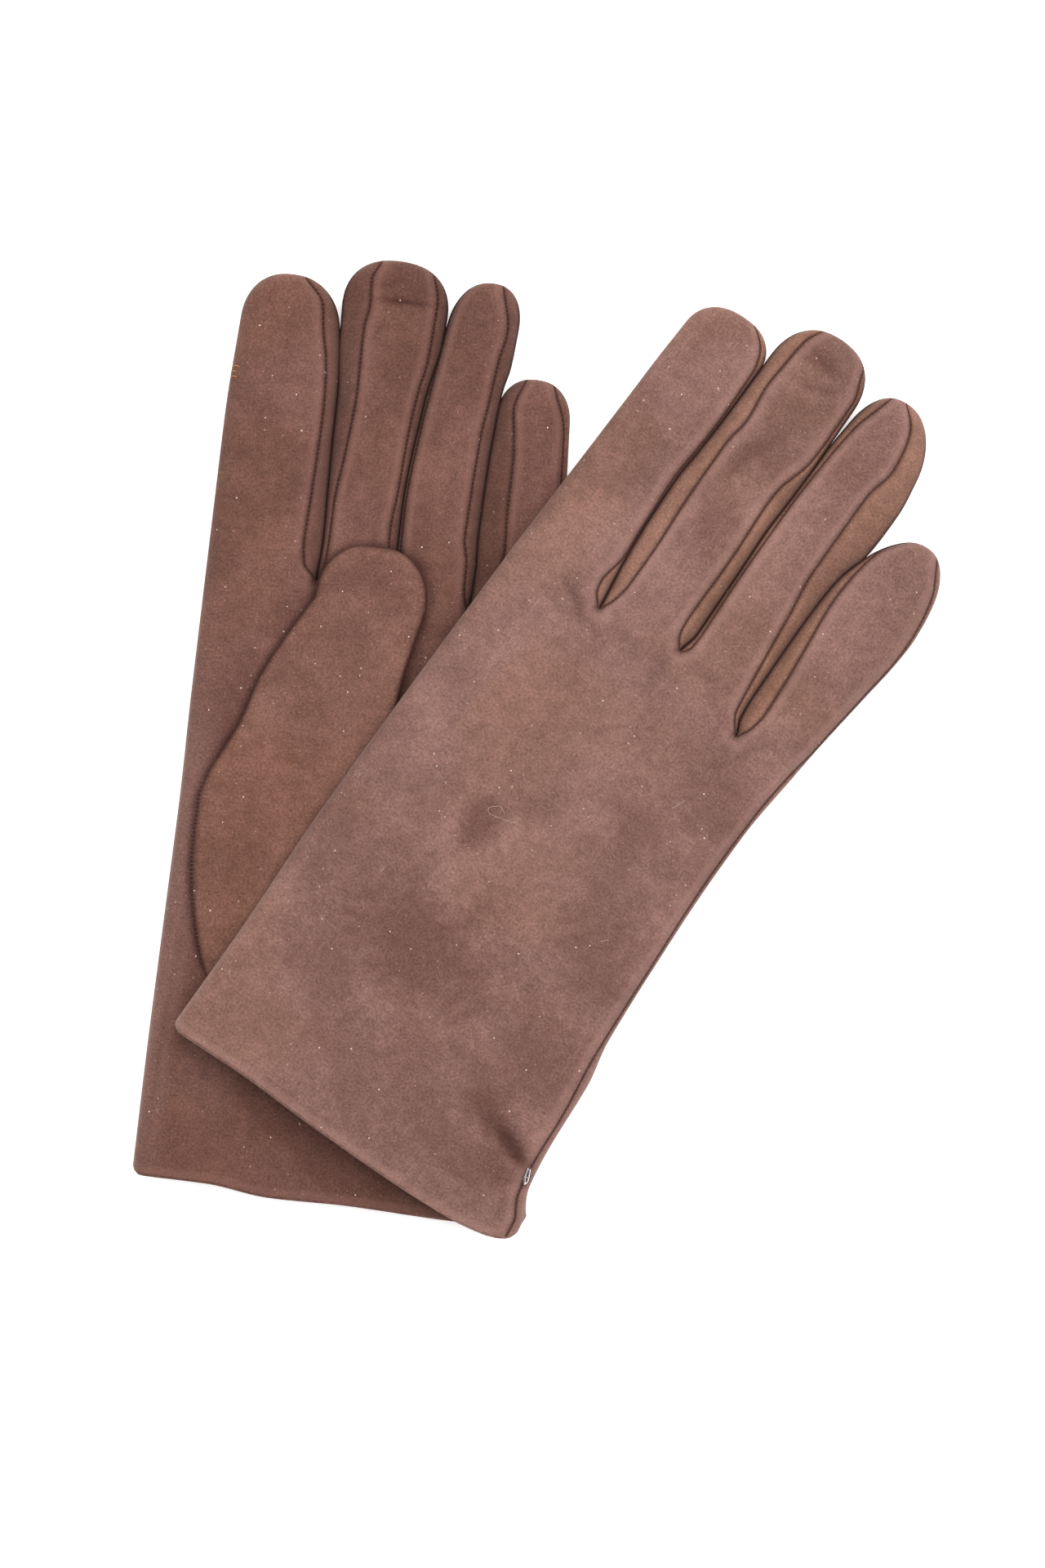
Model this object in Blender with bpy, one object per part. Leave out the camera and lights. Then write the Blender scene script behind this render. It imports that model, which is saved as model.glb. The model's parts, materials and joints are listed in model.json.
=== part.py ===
"""A pair of lined suede dress gloves, held together by one clear plastic tack at the cuffs.

The left glove lies palm up with its thumb folded over the palm. The right glove lies across it, back
up, swung clockwise about the tack, with its own thumb folded under its palm.

Each glove is drawn flat in its own frame, in millimetres: u runs across the hand from the index side
(negative) to the little finger side, v runs from the cuff (0) to the fingertips and w is the height
over the surface that the glove lies on. Glove.place turns this frame into metres, +Z up.
"""

import math

import bmesh
import bpy
from mathutils import Matrix, Vector

MM = 0.001

# What the sheets of a glove measure, in millimetres.
LEATHER = 0.9
LINING = 0.6
GAP = 0.3
HEM_DEPTH = 11.0
HEM_STEP = 2.0
HAND_THICK = 7.5
HAND_ROW_THICK = (9.2, 9.2, 9.2, 8.6, 7.5, 7.5, 7.5)
FINGER_THICK = 9.0
SIDE_GAP = 0.2
JOINT_GAP = 0.15
THUMB_THICK = 5.5
THUMB_CLEAR = 0.3
LINING_INSET = LEATHER + GAP

# The section of a finger: its faces are crowned, and where the leather wraps an outer edge the flat
# sheets stop short of it and two folds carry the leather round, at these shares of the thickness.
CROWN = 1.4
UNDER_CROWN = 0.6
WRAP_TOP_CROWN = 1.2
WRAP_UNDER_CROWN = 1.5
WRAP_WIDTH = 2.4
WRAP_FOLDS = (0.62, 0.34)
TIP_LIFT = 0.35
THUMB_CROWN = 0.6
THUMB_UNDER_CROWN = 0.5
THUMB_END_THICK = 0.94

# The sheets of the hand run on between two fingers; there the columns either side of a line between
# fingers stand this far from it. The lining's web sits a little below the crotch.
HAND_LINE_HALF = 2.0
WEB_DROP = 0.75

# The tip of the left thumb rises a little from the palm.
THUMB_RISE = 1.2
THUMB_RISE_FROM_V = 140.0
THUMB_RISE_LENGTH = 30.0

# The tack: a stem with a bar on top and a knob inside the left cuff.
TACK_U = 46.8
TACK_V = 16.5
TACK_RADIUS = 0.5
TACK_KNOB_RADIUS = 0.9
TACK_FOOT = 2.2
TACK_TOP = 19.2
TACK_BAR_LENGTH = 7.0
TACK_BAR_RADIUS = 0.6
TACK_KNOB_HEIGHT = 1.4
TACK_HOLE_WIDTH = 2.6
TACK_HOLE_HEIGHTS = (1.6, 9.5)
TACK_SLOT_WIDTH = 1.6
TACK_SLOT_LENGTH = 10.0
TACK_SLOT_PAST = 4.2
TACK_SLOT_HEIGHTS = (8.5, 23.2)

# How the right glove lies over the left one: on top of it up to the left glove's outer edge, which is
# a straight line through the tack, and from there down to the table.
REST_ON_HAND = 10.3
REST_ON_THUMB = 13.8
THUMB_SLOPE_FROM_U = 45.0
THUMB_SLOPE_WIDTH = 40.0
KNUCKLE_SLOPE_FROM_V = 148.0
KNUCKLE_SLOPE_WIDTH = 32.0
EDGE_DIRECTION = (0.856, 0.517)
EDGE_START = 5.0
EDGE_WIDTH = 35.0

FINGERS = ("index", "middle", "ring", "little")
HAND_ROWS = (0.0, HEM_DEPTH, HEM_DEPTH + HEM_STEP, 32.0, 60.0, 100.0, 130.0)
CROTCH_ROW = len(HAND_ROWS)
HINGE_ROW = CROTCH_ROW + 2
THUMB_HOLE_ROW = 4

# The rows of a fingertip: how far it is from the joint to the tip, how wide and how thick it is.
TIP_ROWS = (
    (0.0, 1.0, 1.0),
    (0.45, 1.0, 1.0),
    (0.8, 0.93, 0.92),
    (0.94, 0.7, 0.72),
    (1.0, 0.42, 0.42),
)

# Borders are (v, u) points: index fold, the three lines between fingers, and the little finger side.
RIGHT_BORDERS = (
    ((0, -52), (150, -51), (200, -47.5), (240, -48)),
    ((0, -26), (150, -22), (204, -23.5), (240, -24.5)),
    ((0, 0), (154, 1.9), (200, 2.8), (240, 3.2)),
    ((0, 25), (144, 26.8), (173, 28), (240, 29.5)),
    ((0, 52), (15, 49), (45, 46.6), (80, 43.8), (118, 43.3), (152, 46.4), (187, 51), (212, 50)),
)
LEFT_BORDERS = (
    ((0, -52.5), (95, -53), (203, -54.3), (240, -53)),
    ((0, -27), (161, -24.5), (198, -25.3), (240, -27)),
    ((0, -1), (163, -3.5), (197, -1.5), (240, 0.4)),
    ((0, 24), (158, 16.7), (178, 17.5), (204, 18.4), (240, 20)),
    ((0, 52), (20, 49), (80, 44.5), (120, 43), (150, 41), (195, 37.8), (220, 36)),
)

# Thumb outlines are (v, left u, right u), from the open base to the tip.
LEFT_THUMB = (
    (52, -41, -33.5),
    (67, -44, -27.5),
    (88, -47.3, -17.5),
    (106, -46.5, -8.5),
    (124, -39, 0.5),
    (145, -31, 2.6),
    (158, -23.5, 5.4),
    (167, -19.5, 1.5),
    (172, -12, -4),
)
RIGHT_THUMB = (
    (52, -38, -29),
    (67, -41, -22),
    (85, -43, -13),
    (105, -42, -4),
    (122, -37, -1),
    (138, -29, -3),
    (149, -23, -8),
    (155, -18, -12),
)


def smooth(t):
    """Ease from 0 to 1."""
    t = min(max(t, 0.0), 1.0)
    return t * t * (3.0 - 2.0 * t)


def along(points, v):
    """The u of a border at v."""
    for (v0, u0), (v1, u1) in zip(points, points[1:]):
        if v <= v1:
            return u0 + (u1 - u0) * (v - v0) / (v1 - v0)
    return points[-1][1]


def on_table(u, v):
    """The left glove lies flat."""
    return 0.0


def over_left_glove(u, v):
    """Height of the right glove's underside over the table."""
    towards_thumbs = smooth((THUMB_SLOPE_FROM_U - u) / THUMB_SLOPE_WIDTH)
    below_knuckles = 1.0 - smooth((v - KNUCKLE_SLOPE_FROM_V) / KNUCKLE_SLOPE_WIDTH)
    rest = REST_ON_HAND + (REST_ON_THUMB - REST_ON_HAND) * towards_thumbs * below_knuckles
    past_edge = (u - TACK_U) * EDGE_DIRECTION[0] + (v - TACK_V) * EDGE_DIRECTION[1] - EDGE_START
    return rest * (1.0 - smooth(past_edge / EDGE_WIDTH))


class Glove:
    """The sizes of one glove and where it lies."""

    def __init__(self, name, centre, turn, borders, crotches, joints, tips, thumb, thumb_up, rest):
        self.name = name
        self.centre = centre
        self.turn = math.radians(turn)
        self.borders = borders
        self.crotches = crotches
        self.joints = joints
        self.tips = tips
        self.thumb = thumb
        self.thumb_up = thumb_up
        self.rest = rest

    def place(self, u, v, z):
        """A point of the glove's frame in world metres; z is its height over the table."""
        cos_turn = math.cos(self.turn)
        sin_turn = math.sin(self.turn)
        x = self.centre[0] + u * cos_turn + v * sin_turn
        y = self.centre[1] - u * sin_turn + v * cos_turn
        return Vector((x, y, z)) * MM

    def border(self, number, v):
        return along(self.borders[number], v)


LEFT = Glove(
    name="left",
    centre=(-54.95, -118.75),
    turn=7.5,
    borders=LEFT_BORDERS,
    crotches=(161.5, 163.0, 158.5),
    joints=(190.0, 190.0, 190.0, 197.5),
    tips=(240.5, 247.5, 245.0, 221.5),
    thumb=LEFT_THUMB,
    thumb_up=True,
    rest=on_table,
)
RIGHT = Glove(
    name="right",
    centre=(-50.65, -99.65),
    turn=34.5,
    borders=RIGHT_BORDERS,
    crotches=(150.5, 154.0, 143.5),
    joints=(185.0, 188.0, 183.0, 172.0),
    tips=(235.0, 244.5, 240.5, 212.5),
    thumb=RIGHT_THUMB,
    thumb_up=False,
    rest=over_left_glove,
)


def row_v(glove, finger, column, row):
    """How far up the glove a row of its sheet is at one column of a finger."""
    if row < CROTCH_ROW:
        return HAND_ROWS[row]
    left = glove.crotches[max(finger - 1, 0)]
    right = glove.crotches[min(finger, 2)]
    crotch = left + (right - left) * column / 2.0
    reach = (row - CROTCH_ROW) / (HINGE_ROW - CROTCH_ROW)
    return crotch + (glove.joints[finger] - JOINT_GAP - crotch) * reach


def section(glove, finger, part, column, v, width, thick, side_inset, inset, half_gap, under_crown):
    """A point on the skin of a finger or of the hand's share below it, as u and w.

    part is "top", "bottom" or "side"; column counts 0, 1, 2 across the finger, and for "side" it
    counts 0, 1 down the wrapped edge. inset and side_inset shrink the section.
    """
    left = glove.border(finger, v)
    right = glove.border(finger + 1, v)
    wraps_left = finger == 0
    wraps_right = finger == 3
    left += 0.0 if wraps_left else half_gap
    right -= 0.0 if wraps_right else half_gap
    middle = (left + right) / 2.0
    half = (right - left) / 2.0 * width - side_inset
    if part == "side":
        u = middle - half if wraps_left else middle + half
        return u, thick * WRAP_FOLDS[column]
    across = column - 1.0
    wrapped = (wraps_left and column == 0) or (wraps_right and column == 2)
    u = middle + across * (half - (WRAP_WIDTH * width if wrapped else 0.0))
    crown = CROWN * across * across * thick / FINGER_THICK
    if part == "top":
        return u, thick - crown * (WRAP_TOP_CROWN if wrapped else 1.0) - inset
    return u, crown * under_crown * (WRAP_UNDER_CROWN if wrapped else 1.0) + inset


def hand_point(glove, key, inset, side_inset):
    """World point of a vertex of the hand sheets; key is (part, finger, column, row)."""
    part, finger, column, row = key
    edge = column if part != "side" else (0 if finger == 0 else 2)
    faces_neighbour = (finger > 0 and edge == 0) or (finger < 3 and edge == 2)
    v = row_v(glove, finger, edge, row)
    if row < CROTCH_ROW:
        thick = HAND_ROW_THICK[row]
        half_gap = HAND_LINE_HALF
        under_crown = 0.0
        side_inset = 0.0 if faces_neighbour else side_inset
    else:
        reach = (row - CROTCH_ROW) / (HINGE_ROW - CROTCH_ROW)
        thick = HAND_THICK + (FINGER_THICK - HAND_THICK) * reach
        half_gap = SIDE_GAP
        under_crown = UNDER_CROWN
        if row == CROTCH_ROW and faces_neighbour:
            v -= WEB_DROP * side_inset
    u, w = section(
        glove, finger, part, column, v, 1.0, thick, side_inset, inset, half_gap, under_crown
    )
    return glove.place(u, v, w + glove.rest(u, v))


def tip_point(glove, key, inset, side_inset):
    """World point of a vertex of a fingertip; key is (part, finger, column, row)."""
    part, finger, column, row = key
    start = glove.joints[finger] + JOINT_GAP
    reach, width, thin = TIP_ROWS[row]
    v = start + (glove.tips[finger] - inset - start) * reach
    thick = FINGER_THICK * thin
    u, w = section(
        glove, finger, part, column, v, width, thick, side_inset, inset, SIDE_GAP, UNDER_CROWN
    )
    w += (FINGER_THICK - thick) * TIP_LIFT
    return glove.place(u, v, w + glove.rest(u, v))


def thumb_point(glove, key, inset, side_inset):
    """World point of a vertex of the thumb; key is (part, column, row)."""
    part, column, row = key
    v, left, right = glove.thumb[row]
    if row == len(glove.thumb) - 1:
        v -= side_inset
    across = column - 1.0
    half = (right - left) / 2.0 - side_inset
    u = (left + right) / 2.0 + across * half
    at_end = row in (0, len(glove.thumb) - 1)
    full = THUMB_THICK * (THUMB_END_THICK if at_end else 1.0)
    crown = THUMB_CROWN * across * across
    w = full - crown - inset if part == "top" else crown * THUMB_UNDER_CROWN + inset
    if glove.thumb_up:
        rise = THUMB_RISE * smooth((v - THUMB_RISE_FROM_V) / THUMB_RISE_LENGTH)
        w += HAND_THICK + THUMB_CLEAR + rise
    else:
        w = -THUMB_CLEAR - THUMB_THICK + w
    return glove.place(u, v, w + glove.rest(u, v))


def thick_sheet(name, quads, outer, inner, origin):
    """One solid sheet from its outer and inner skins, closed round its free edges."""
    keys = sorted({key for quad in quads for key in quad})
    mesh = bmesh.new()
    outside = {key: mesh.verts.new(outer(key) - origin) for key in keys}
    inside = {key: mesh.verts.new(inner(key) - origin) for key in keys}
    edge_count = {}
    for quad in quads:
        for half in (quad[:3], quad[2:] + quad[:1]):
            mesh.faces.new([outside[key] for key in half])
            mesh.faces.new([inside[key] for key in reversed(half)])
        for edge in zip(quad, quad[1:] + quad[:1]):
            pair = tuple(sorted(edge))
            edge_count[pair] = edge_count.get(pair, 0) + 1
    for (start, end), count in edge_count.items():
        if count == 1:
            mesh.faces.new([outside[start], outside[end], inside[end], inside[start]])
    bmesh.ops.recalc_face_normals(mesh, faces=mesh.faces)
    return new_object(name, mesh, origin)


def new_object(name, mesh, origin):
    """Turn a bmesh into a smooth shaded object with its origin at a world point."""
    data = bpy.data.meshes.new(name)
    mesh.to_mesh(data)
    mesh.free()
    for face in data.polygons:
        face.use_smooth = True
    part = bpy.data.objects.new(name, data)
    part.location = origin
    bpy.context.scene.collection.objects.link(part)
    return part


def paint(part, colour, roughness, coat=0.0):
    """Give a part its own plain Principled material."""
    material = bpy.data.materials.new(part.name + "_material")
    material.use_nodes = True
    shader = material.node_tree.nodes["Principled BSDF"]
    shader.inputs["Base Color"].default_value = (*colour, 1.0)
    shader.inputs["Roughness"].default_value = roughness
    shader.inputs["Metallic"].default_value = 0.0
    shader.inputs["Coat Weight"].default_value = coat
    part.data.materials.append(material)
    return part


def suede(part):
    """Red brown suede of the main sheets."""
    return paint(part, (0.19, 0.085, 0.06), 0.95)


def thumb_suede(part):
    """The slightly lighter skin of the thumbs."""
    return paint(part, (0.215, 0.098, 0.067), 0.95)


def fourchette_suede(part):
    """The tan suede of the strips between the fingers."""
    return paint(part, (0.23, 0.115, 0.068), 0.95)


def lining_cloth(part):
    """Brown knitted lining."""
    return paint(part, (0.075, 0.04, 0.028), 0.9)


def clear_plastic(part):
    """Pale clear plastic of the tack."""
    return paint(part, (0.82, 0.82, 0.8), 0.25, coat=0.3)


def hand_loop():
    """The columns round the hand, from the index fold over the top and back underneath."""
    top = [("top", finger, column) for finger in range(4) for column in range(3)]
    bottom = [("bottom", finger, column) for finger in range(4) for column in range(3)]
    far_side = [("side", 3, 0), ("side", 3, 1)]
    near_side = [("side", 0, 1), ("side", 0, 0)]
    return top + far_side + bottom[::-1] + near_side


def between_fingers(first, second):
    """Whether two neighbouring columns lie on either side of a line between fingers."""
    return first[0] == second[0] != "side" and first[1] != second[1]


def hand_quads(glove, first_row):
    """The cells of the hand sheet with the four finger roots."""
    loop = hand_loop()
    thumb_face = "top" if glove.thumb_up else "bottom"
    quads = []
    for row in range(first_row, HINGE_ROW):
        for first, second in zip(loop, loop[1:] + loop[:1]):
            if row >= CROTCH_ROW and between_fingers(first, second):
                continue
            columns = {first[2], second[2]}
            over_thumb_hole = first[0] == second[0] == thumb_face and first[1] == second[1] == 0
            if over_thumb_hole and row == THUMB_HOLE_ROW and columns == {1, 2}:
                continue
            quads.append((first + (row,), second + (row,), second + (row + 1,), first + (row + 1,)))
    return quads


def finger_wall_quads(finger, column, first_row, last_row):
    """The side wall of a finger at one of its edges, between the top and bottom sheets."""
    quads = []
    for row in range(first_row, last_row):
        top = [("top", finger, column, row), ("top", finger, column, row + 1)]
        bottom = [("bottom", finger, column, row + 1), ("bottom", finger, column, row)]
        quads.append(tuple(top + bottom))
    return quads


def build_hand(glove):
    """The main piece of leather: palm, back and finger roots in one, with its turned-in hem."""

    def inner_inset(key):
        return 2.0 * LEATHER if key[3] < 2 else LEATHER

    return suede(
        thick_sheet(
            f"{glove.name}_trank_hand",
            hand_quads(glove, 0),
            lambda key: hand_point(glove, key, 0.0, 0.0),
            lambda key: hand_point(
                glove, key, inner_inset(key), inner_inset(key) if key[0] == "side" else 0.0
            ),
            glove.place(0.0, 0.0, glove.rest(0.0, 0.0)),
        )
    )


def build_hand_lining(glove):
    """The lining of the hand and of the finger roots, one bag with four legs."""
    quads = hand_quads(glove, 2)
    for line in range(3):
        quads += finger_wall_quads(line, 2, CROTCH_ROW, HINGE_ROW)
        quads += finger_wall_quads(line + 1, 0, CROTCH_ROW, HINGE_ROW)
        quads.append(
            (
                ("top", line, 2, CROTCH_ROW),
                ("top", line + 1, 0, CROTCH_ROW),
                ("bottom", line + 1, 0, CROTCH_ROW),
                ("bottom", line, 2, CROTCH_ROW),
            )
        )
    outer = LINING_INSET
    inner = LINING_INSET + LINING
    return lining_cloth(
        thick_sheet(
            f"{glove.name}_lining_hand",
            quads,
            lambda key: hand_point(glove, key, outer, outer),
            lambda key: hand_point(glove, key, inner, inner),
            glove.place(0.0, 0.0, glove.rest(0.0, 0.0)),
        )
    )


def tip_quads(finger, closed):
    """The cells of a fingertip; closed ones have walls along both edges instead of free edges."""
    last = len(TIP_ROWS) - 1
    quads = []
    for row in range(last):
        for part in ("top", "bottom"):
            for column in range(2):
                first = (part, finger, column)
                second = (part, finger, column + 1)
                quads.append(
                    (first + (row,), second + (row,), second + (row + 1,), first + (row + 1,))
                )
        if finger in (0, 3):
            edge = 0 if finger == 0 else 2
            roll = [("top", finger, edge), ("side", finger, 0), ("side", finger, 1)]
            roll.append(("bottom", finger, edge))
            for first, second in zip(roll, roll[1:]):
                quads.append(
                    (first + (row,), second + (row,), second + (row + 1,), first + (row + 1,))
                )
    for column in range(2):
        quads.append(
            (
                ("top", finger, column, last),
                ("top", finger, column + 1, last),
                ("bottom", finger, column + 1, last),
                ("bottom", finger, column, last),
            )
        )
    if finger in (0, 3):
        edge = 0 if finger == 0 else 2
        quads.append(
            (
                ("top", finger, edge, last),
                ("side", finger, 0, last),
                ("side", finger, 1, last),
                ("bottom", finger, edge, last),
            )
        )
    if closed:
        if finger < 3:
            quads += finger_wall_quads(finger, 2, 0, last)
        if finger > 0:
            quads += finger_wall_quads(finger, 0, 0, last)
    return quads


def finger_hinge(glove, finger):
    """The middle of a finger's joint line, on the top of the finger."""
    v = glove.joints[finger]
    u = (glove.border(finger, v) + glove.border(finger + 1, v)) / 2.0
    return glove.place(u, v, FINGER_THICK + glove.rest(u, v))


def build_tip(glove, finger):
    """The leather of one fingertip: front and back in one, joined over the tip."""
    return suede(
        thick_sheet(
            f"{glove.name}_trank_{FINGERS[finger]}_tip",
            tip_quads(finger, False),
            lambda key: tip_point(glove, key, 0.0, 0.0),
            lambda key: tip_point(glove, key, LEATHER, LEATHER if key[0] == "side" else 0.0),
            finger_hinge(glove, finger),
        )
    )


def build_tip_lining(glove, finger):
    """The lining of one fingertip, a closed cap."""
    outer = LINING_INSET
    inner = LINING_INSET + LINING
    return lining_cloth(
        thick_sheet(
            f"{glove.name}_lining_{FINGERS[finger]}_tip",
            tip_quads(finger, True),
            lambda key: tip_point(glove, key, outer, outer),
            lambda key: tip_point(glove, key, inner, inner),
            finger_hinge(glove, finger),
        )
    )


def strip_point(glove, finger, column, row, at_tip, high, inset):
    """A corner of a fourchette, tucked between the edges of the top and bottom sheets."""
    part = "top" if high else "bottom"
    point = tip_point if at_tip else hand_point
    edge = point(glove, (part, finger, column, row), LINING_INSET, 0.0)
    middle = point(glove, (part, finger, 1, row), LINING_INSET, 0.0)
    inward = (middle - edge).normalized()
    return edge + inward * inset * MM


def build_fourchette(glove, finger, column, neighbour, at_tip):
    """One strip of a fourchette along one finger, on one side of that finger's joint."""
    rows = range(0, 3) if at_tip else range(CROTCH_ROW, HINGE_ROW)
    quads = []
    for row in rows:
        quads.append(((row, True), (row + 1, True), (row + 1, False), (row, False)))
    part = "tip" if at_tip else "base"
    name = f"{glove.name}_fourchette_{FINGERS[finger]}_to_{FINGERS[neighbour]}_{part}"
    origin = finger_hinge(glove, finger)
    return fourchette_suede(
        thick_sheet(
            name,
            quads,
            lambda key: strip_point(glove, finger, column, key[0], at_tip, key[1], 0.0),
            lambda key: strip_point(glove, finger, column, key[0], at_tip, key[1], LEATHER),
            origin,
        )
    )


def build_fourchettes(glove):
    """Three fourchettes: each has one strip on either side of a line between fingers."""
    for line in range(3):
        for at_tip in (False, True):
            build_fourchette(glove, line, 2, line + 1, at_tip)
            build_fourchette(glove, line + 1, 0, line, at_tip)


def thumb_quads(glove):
    """The cells of the thumb: a flat bag, open at its base."""
    last = len(glove.thumb) - 1
    quads = []
    for row in range(last):
        for part in ("top", "bottom"):
            for column in range(2):
                quads.append(
                    (
                        (part, column, row),
                        (part, column + 1, row),
                        (part, column + 1, row + 1),
                        (part, column, row + 1),
                    )
                )
        for column in (0, 2):
            quads.append(
                (
                    ("top", column, row),
                    ("top", column, row + 1),
                    ("bottom", column, row + 1),
                    ("bottom", column, row),
                )
            )
    for column in range(2):
        quads.append(
            (
                ("top", column, last),
                ("top", column + 1, last),
                ("bottom", column + 1, last),
                ("bottom", column, last),
            )
        )
    return quads


def build_thumb(glove):
    """The set-in thumb, folded flat against the palm, with its lining."""
    seam_v, seam_u = glove.thumb[2][0], glove.thumb[2][1]
    origin = glove.place(seam_u, seam_v, HAND_THICK if glove.thumb_up else glove.rest(seam_u, seam_v))
    thumb_suede(
        thick_sheet(
            f"{glove.name}_thumb",
            thumb_quads(glove),
            lambda key: thumb_point(glove, key, 0.0, 0.0),
            lambda key: thumb_point(glove, key, LEATHER, LEATHER),
            origin,
        )
    )
    outer = LINING_INSET
    inner = LINING_INSET + LINING
    lining_cloth(
        thick_sheet(
            f"{glove.name}_lining_thumb",
            thumb_quads(glove),
            lambda key: thumb_point(glove, key, outer, outer),
            lambda key: thumb_point(glove, key, inner, inner),
            origin,
        )
    )


def rod(mesh, start, end, radius):
    """Add an eight-sided rod between two points."""
    axis = end - start
    turn = Vector((0.0, 0.0, 1.0)).rotation_difference(axis).to_matrix().to_4x4()
    bmesh.ops.create_cone(
        mesh,
        cap_ends=True,
        segments=8,
        radius1=radius,
        radius2=radius,
        depth=axis.length,
        matrix=Matrix.Translation((start + end) / 2.0) @ turn,
    )


def tack_piece(name, start, end, radius, origin):
    """One rod of the tack as its own object."""
    mesh = bmesh.new()
    rod(mesh, start - origin, end - origin, radius * MM)
    return new_object(name, mesh, origin)


def join_solids(whole, others):
    """Fuse overlapping rods into one solid."""
    for other in others:
        fuse = whole.modifiers.new("fuse", "BOOLEAN")
        fuse.operation = "UNION"
        fuse.solver = "EXACT"
        fuse.object = other
        bpy.context.view_layer.objects.active = whole
        bpy.ops.object.modifier_apply(modifier=fuse.name)
        bpy.data.objects.remove(other, do_unlink=True)


def build_tack():
    """The tack: a bar lying along the right glove's side seam, a stem and a knob in the left cuff."""
    top = RIGHT.place(TACK_U, TACK_V, TACK_TOP)
    foot = RIGHT.place(TACK_U, TACK_V, TACK_FOOT)
    stem = tack_piece("pair_tack", foot, top, TACK_RADIUS, top)
    half = TACK_BAR_LENGTH / 2.0
    bar = tack_piece(
        "tack_bar",
        RIGHT.place(TACK_U, TACK_V - half, TACK_TOP),
        RIGHT.place(TACK_U, TACK_V + half, TACK_TOP),
        TACK_BAR_RADIUS,
        top,
    )
    knob_top = RIGHT.place(TACK_U, TACK_V, TACK_FOOT + TACK_KNOB_HEIGHT)
    knob = tack_piece("tack_knob", foot, knob_top, TACK_KNOB_RADIUS, top)
    join_solids(stem, [bar, knob])
    return clear_plastic(stem)


def cut_box(name, centre_u, length, width, heights):
    """A wire box, turned like the right glove, for cutting room for the tack."""
    low, high = heights
    bpy.ops.mesh.primitive_cube_add(size=1.0)
    box = bpy.context.active_object
    box.name = name
    box.scale = Vector((length, width, high - low)) * MM
    box.rotation_euler = (0.0, 0.0, -RIGHT.turn)
    box.location = RIGHT.place(centre_u, TACK_V, (low + high) / 2.0)
    box.hide_render = True
    box.display_type = "WIRE"
    return box


def cut(part, box):
    """Cut a box out of a part and bake the result."""
    modifier = part.modifiers.new("tack_hole", "BOOLEAN")
    modifier.operation = "DIFFERENCE"
    modifier.solver = "EXACT"
    modifier.object = box
    bpy.context.view_layer.objects.active = part
    bpy.ops.object.modifier_apply(modifier=modifier.name)


def pierce_for_tack(sheets):
    """The tack's hole in the left cuff, and its slot to the side seam in the right cuff."""
    left_box = cut_box("left_tack_hole", TACK_U, TACK_HOLE_WIDTH, TACK_HOLE_WIDTH, TACK_HOLE_HEIGHTS)
    slot_middle = TACK_U + TACK_SLOT_PAST
    right_box = cut_box(
        "right_tack_slot", slot_middle, TACK_SLOT_LENGTH, TACK_SLOT_WIDTH, TACK_SLOT_HEIGHTS
    )
    for part in sheets["left"]:
        cut(part, left_box)
    for part in sheets["right"]:
        cut(part, right_box)
    for box in (left_box, right_box):
        bpy.data.objects.remove(box, do_unlink=True)


def build_glove(glove):
    """Every piece of one glove; returns the sheets that the tack goes through."""
    hand = build_hand(glove)
    lining = build_hand_lining(glove)
    for finger in range(4):
        build_tip(glove, finger)
        build_tip_lining(glove, finger)
    build_fourchettes(glove)
    build_thumb(glove)
    return [hand, lining]


def main():
    for old in list(bpy.data.objects):
        bpy.data.objects.remove(old, do_unlink=True)
    sheets = {glove.name: build_glove(glove) for glove in (LEFT, RIGHT)}
    pierce_for_tack(sheets)
    build_tack()


main()
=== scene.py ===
"""A pair of red brown suede dress gloves on a white table, seen from straight above.

Every glove is modelled in its own flat frame, in millimetres: u across the hand from the index side to
the little finger side, v from the cuff to the fingertips and w up from the surface it lies on.
"""

import json
import math
from dataclasses import dataclass

import bmesh
import bpy
import numpy as np
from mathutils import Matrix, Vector, noise

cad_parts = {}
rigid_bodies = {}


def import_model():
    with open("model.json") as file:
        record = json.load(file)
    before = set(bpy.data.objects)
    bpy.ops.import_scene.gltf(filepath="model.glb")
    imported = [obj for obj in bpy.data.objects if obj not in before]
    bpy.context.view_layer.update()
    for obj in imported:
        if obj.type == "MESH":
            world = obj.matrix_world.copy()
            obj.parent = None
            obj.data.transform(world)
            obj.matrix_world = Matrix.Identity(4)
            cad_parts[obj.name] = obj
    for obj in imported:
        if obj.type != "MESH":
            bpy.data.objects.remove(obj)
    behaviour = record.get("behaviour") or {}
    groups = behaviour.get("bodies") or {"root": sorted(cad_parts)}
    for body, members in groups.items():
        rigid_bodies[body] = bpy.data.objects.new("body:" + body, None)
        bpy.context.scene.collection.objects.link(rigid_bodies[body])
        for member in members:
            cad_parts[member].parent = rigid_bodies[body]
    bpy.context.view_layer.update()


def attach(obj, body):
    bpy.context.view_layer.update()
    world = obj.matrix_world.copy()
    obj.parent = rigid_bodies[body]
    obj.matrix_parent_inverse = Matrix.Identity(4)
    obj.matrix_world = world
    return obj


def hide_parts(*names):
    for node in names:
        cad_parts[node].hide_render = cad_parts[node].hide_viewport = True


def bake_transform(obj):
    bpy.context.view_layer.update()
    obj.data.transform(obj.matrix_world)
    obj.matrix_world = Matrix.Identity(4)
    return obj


MM = 0.001
FINGER_NAMES = ("index", "middle", "ring", "little")

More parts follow.
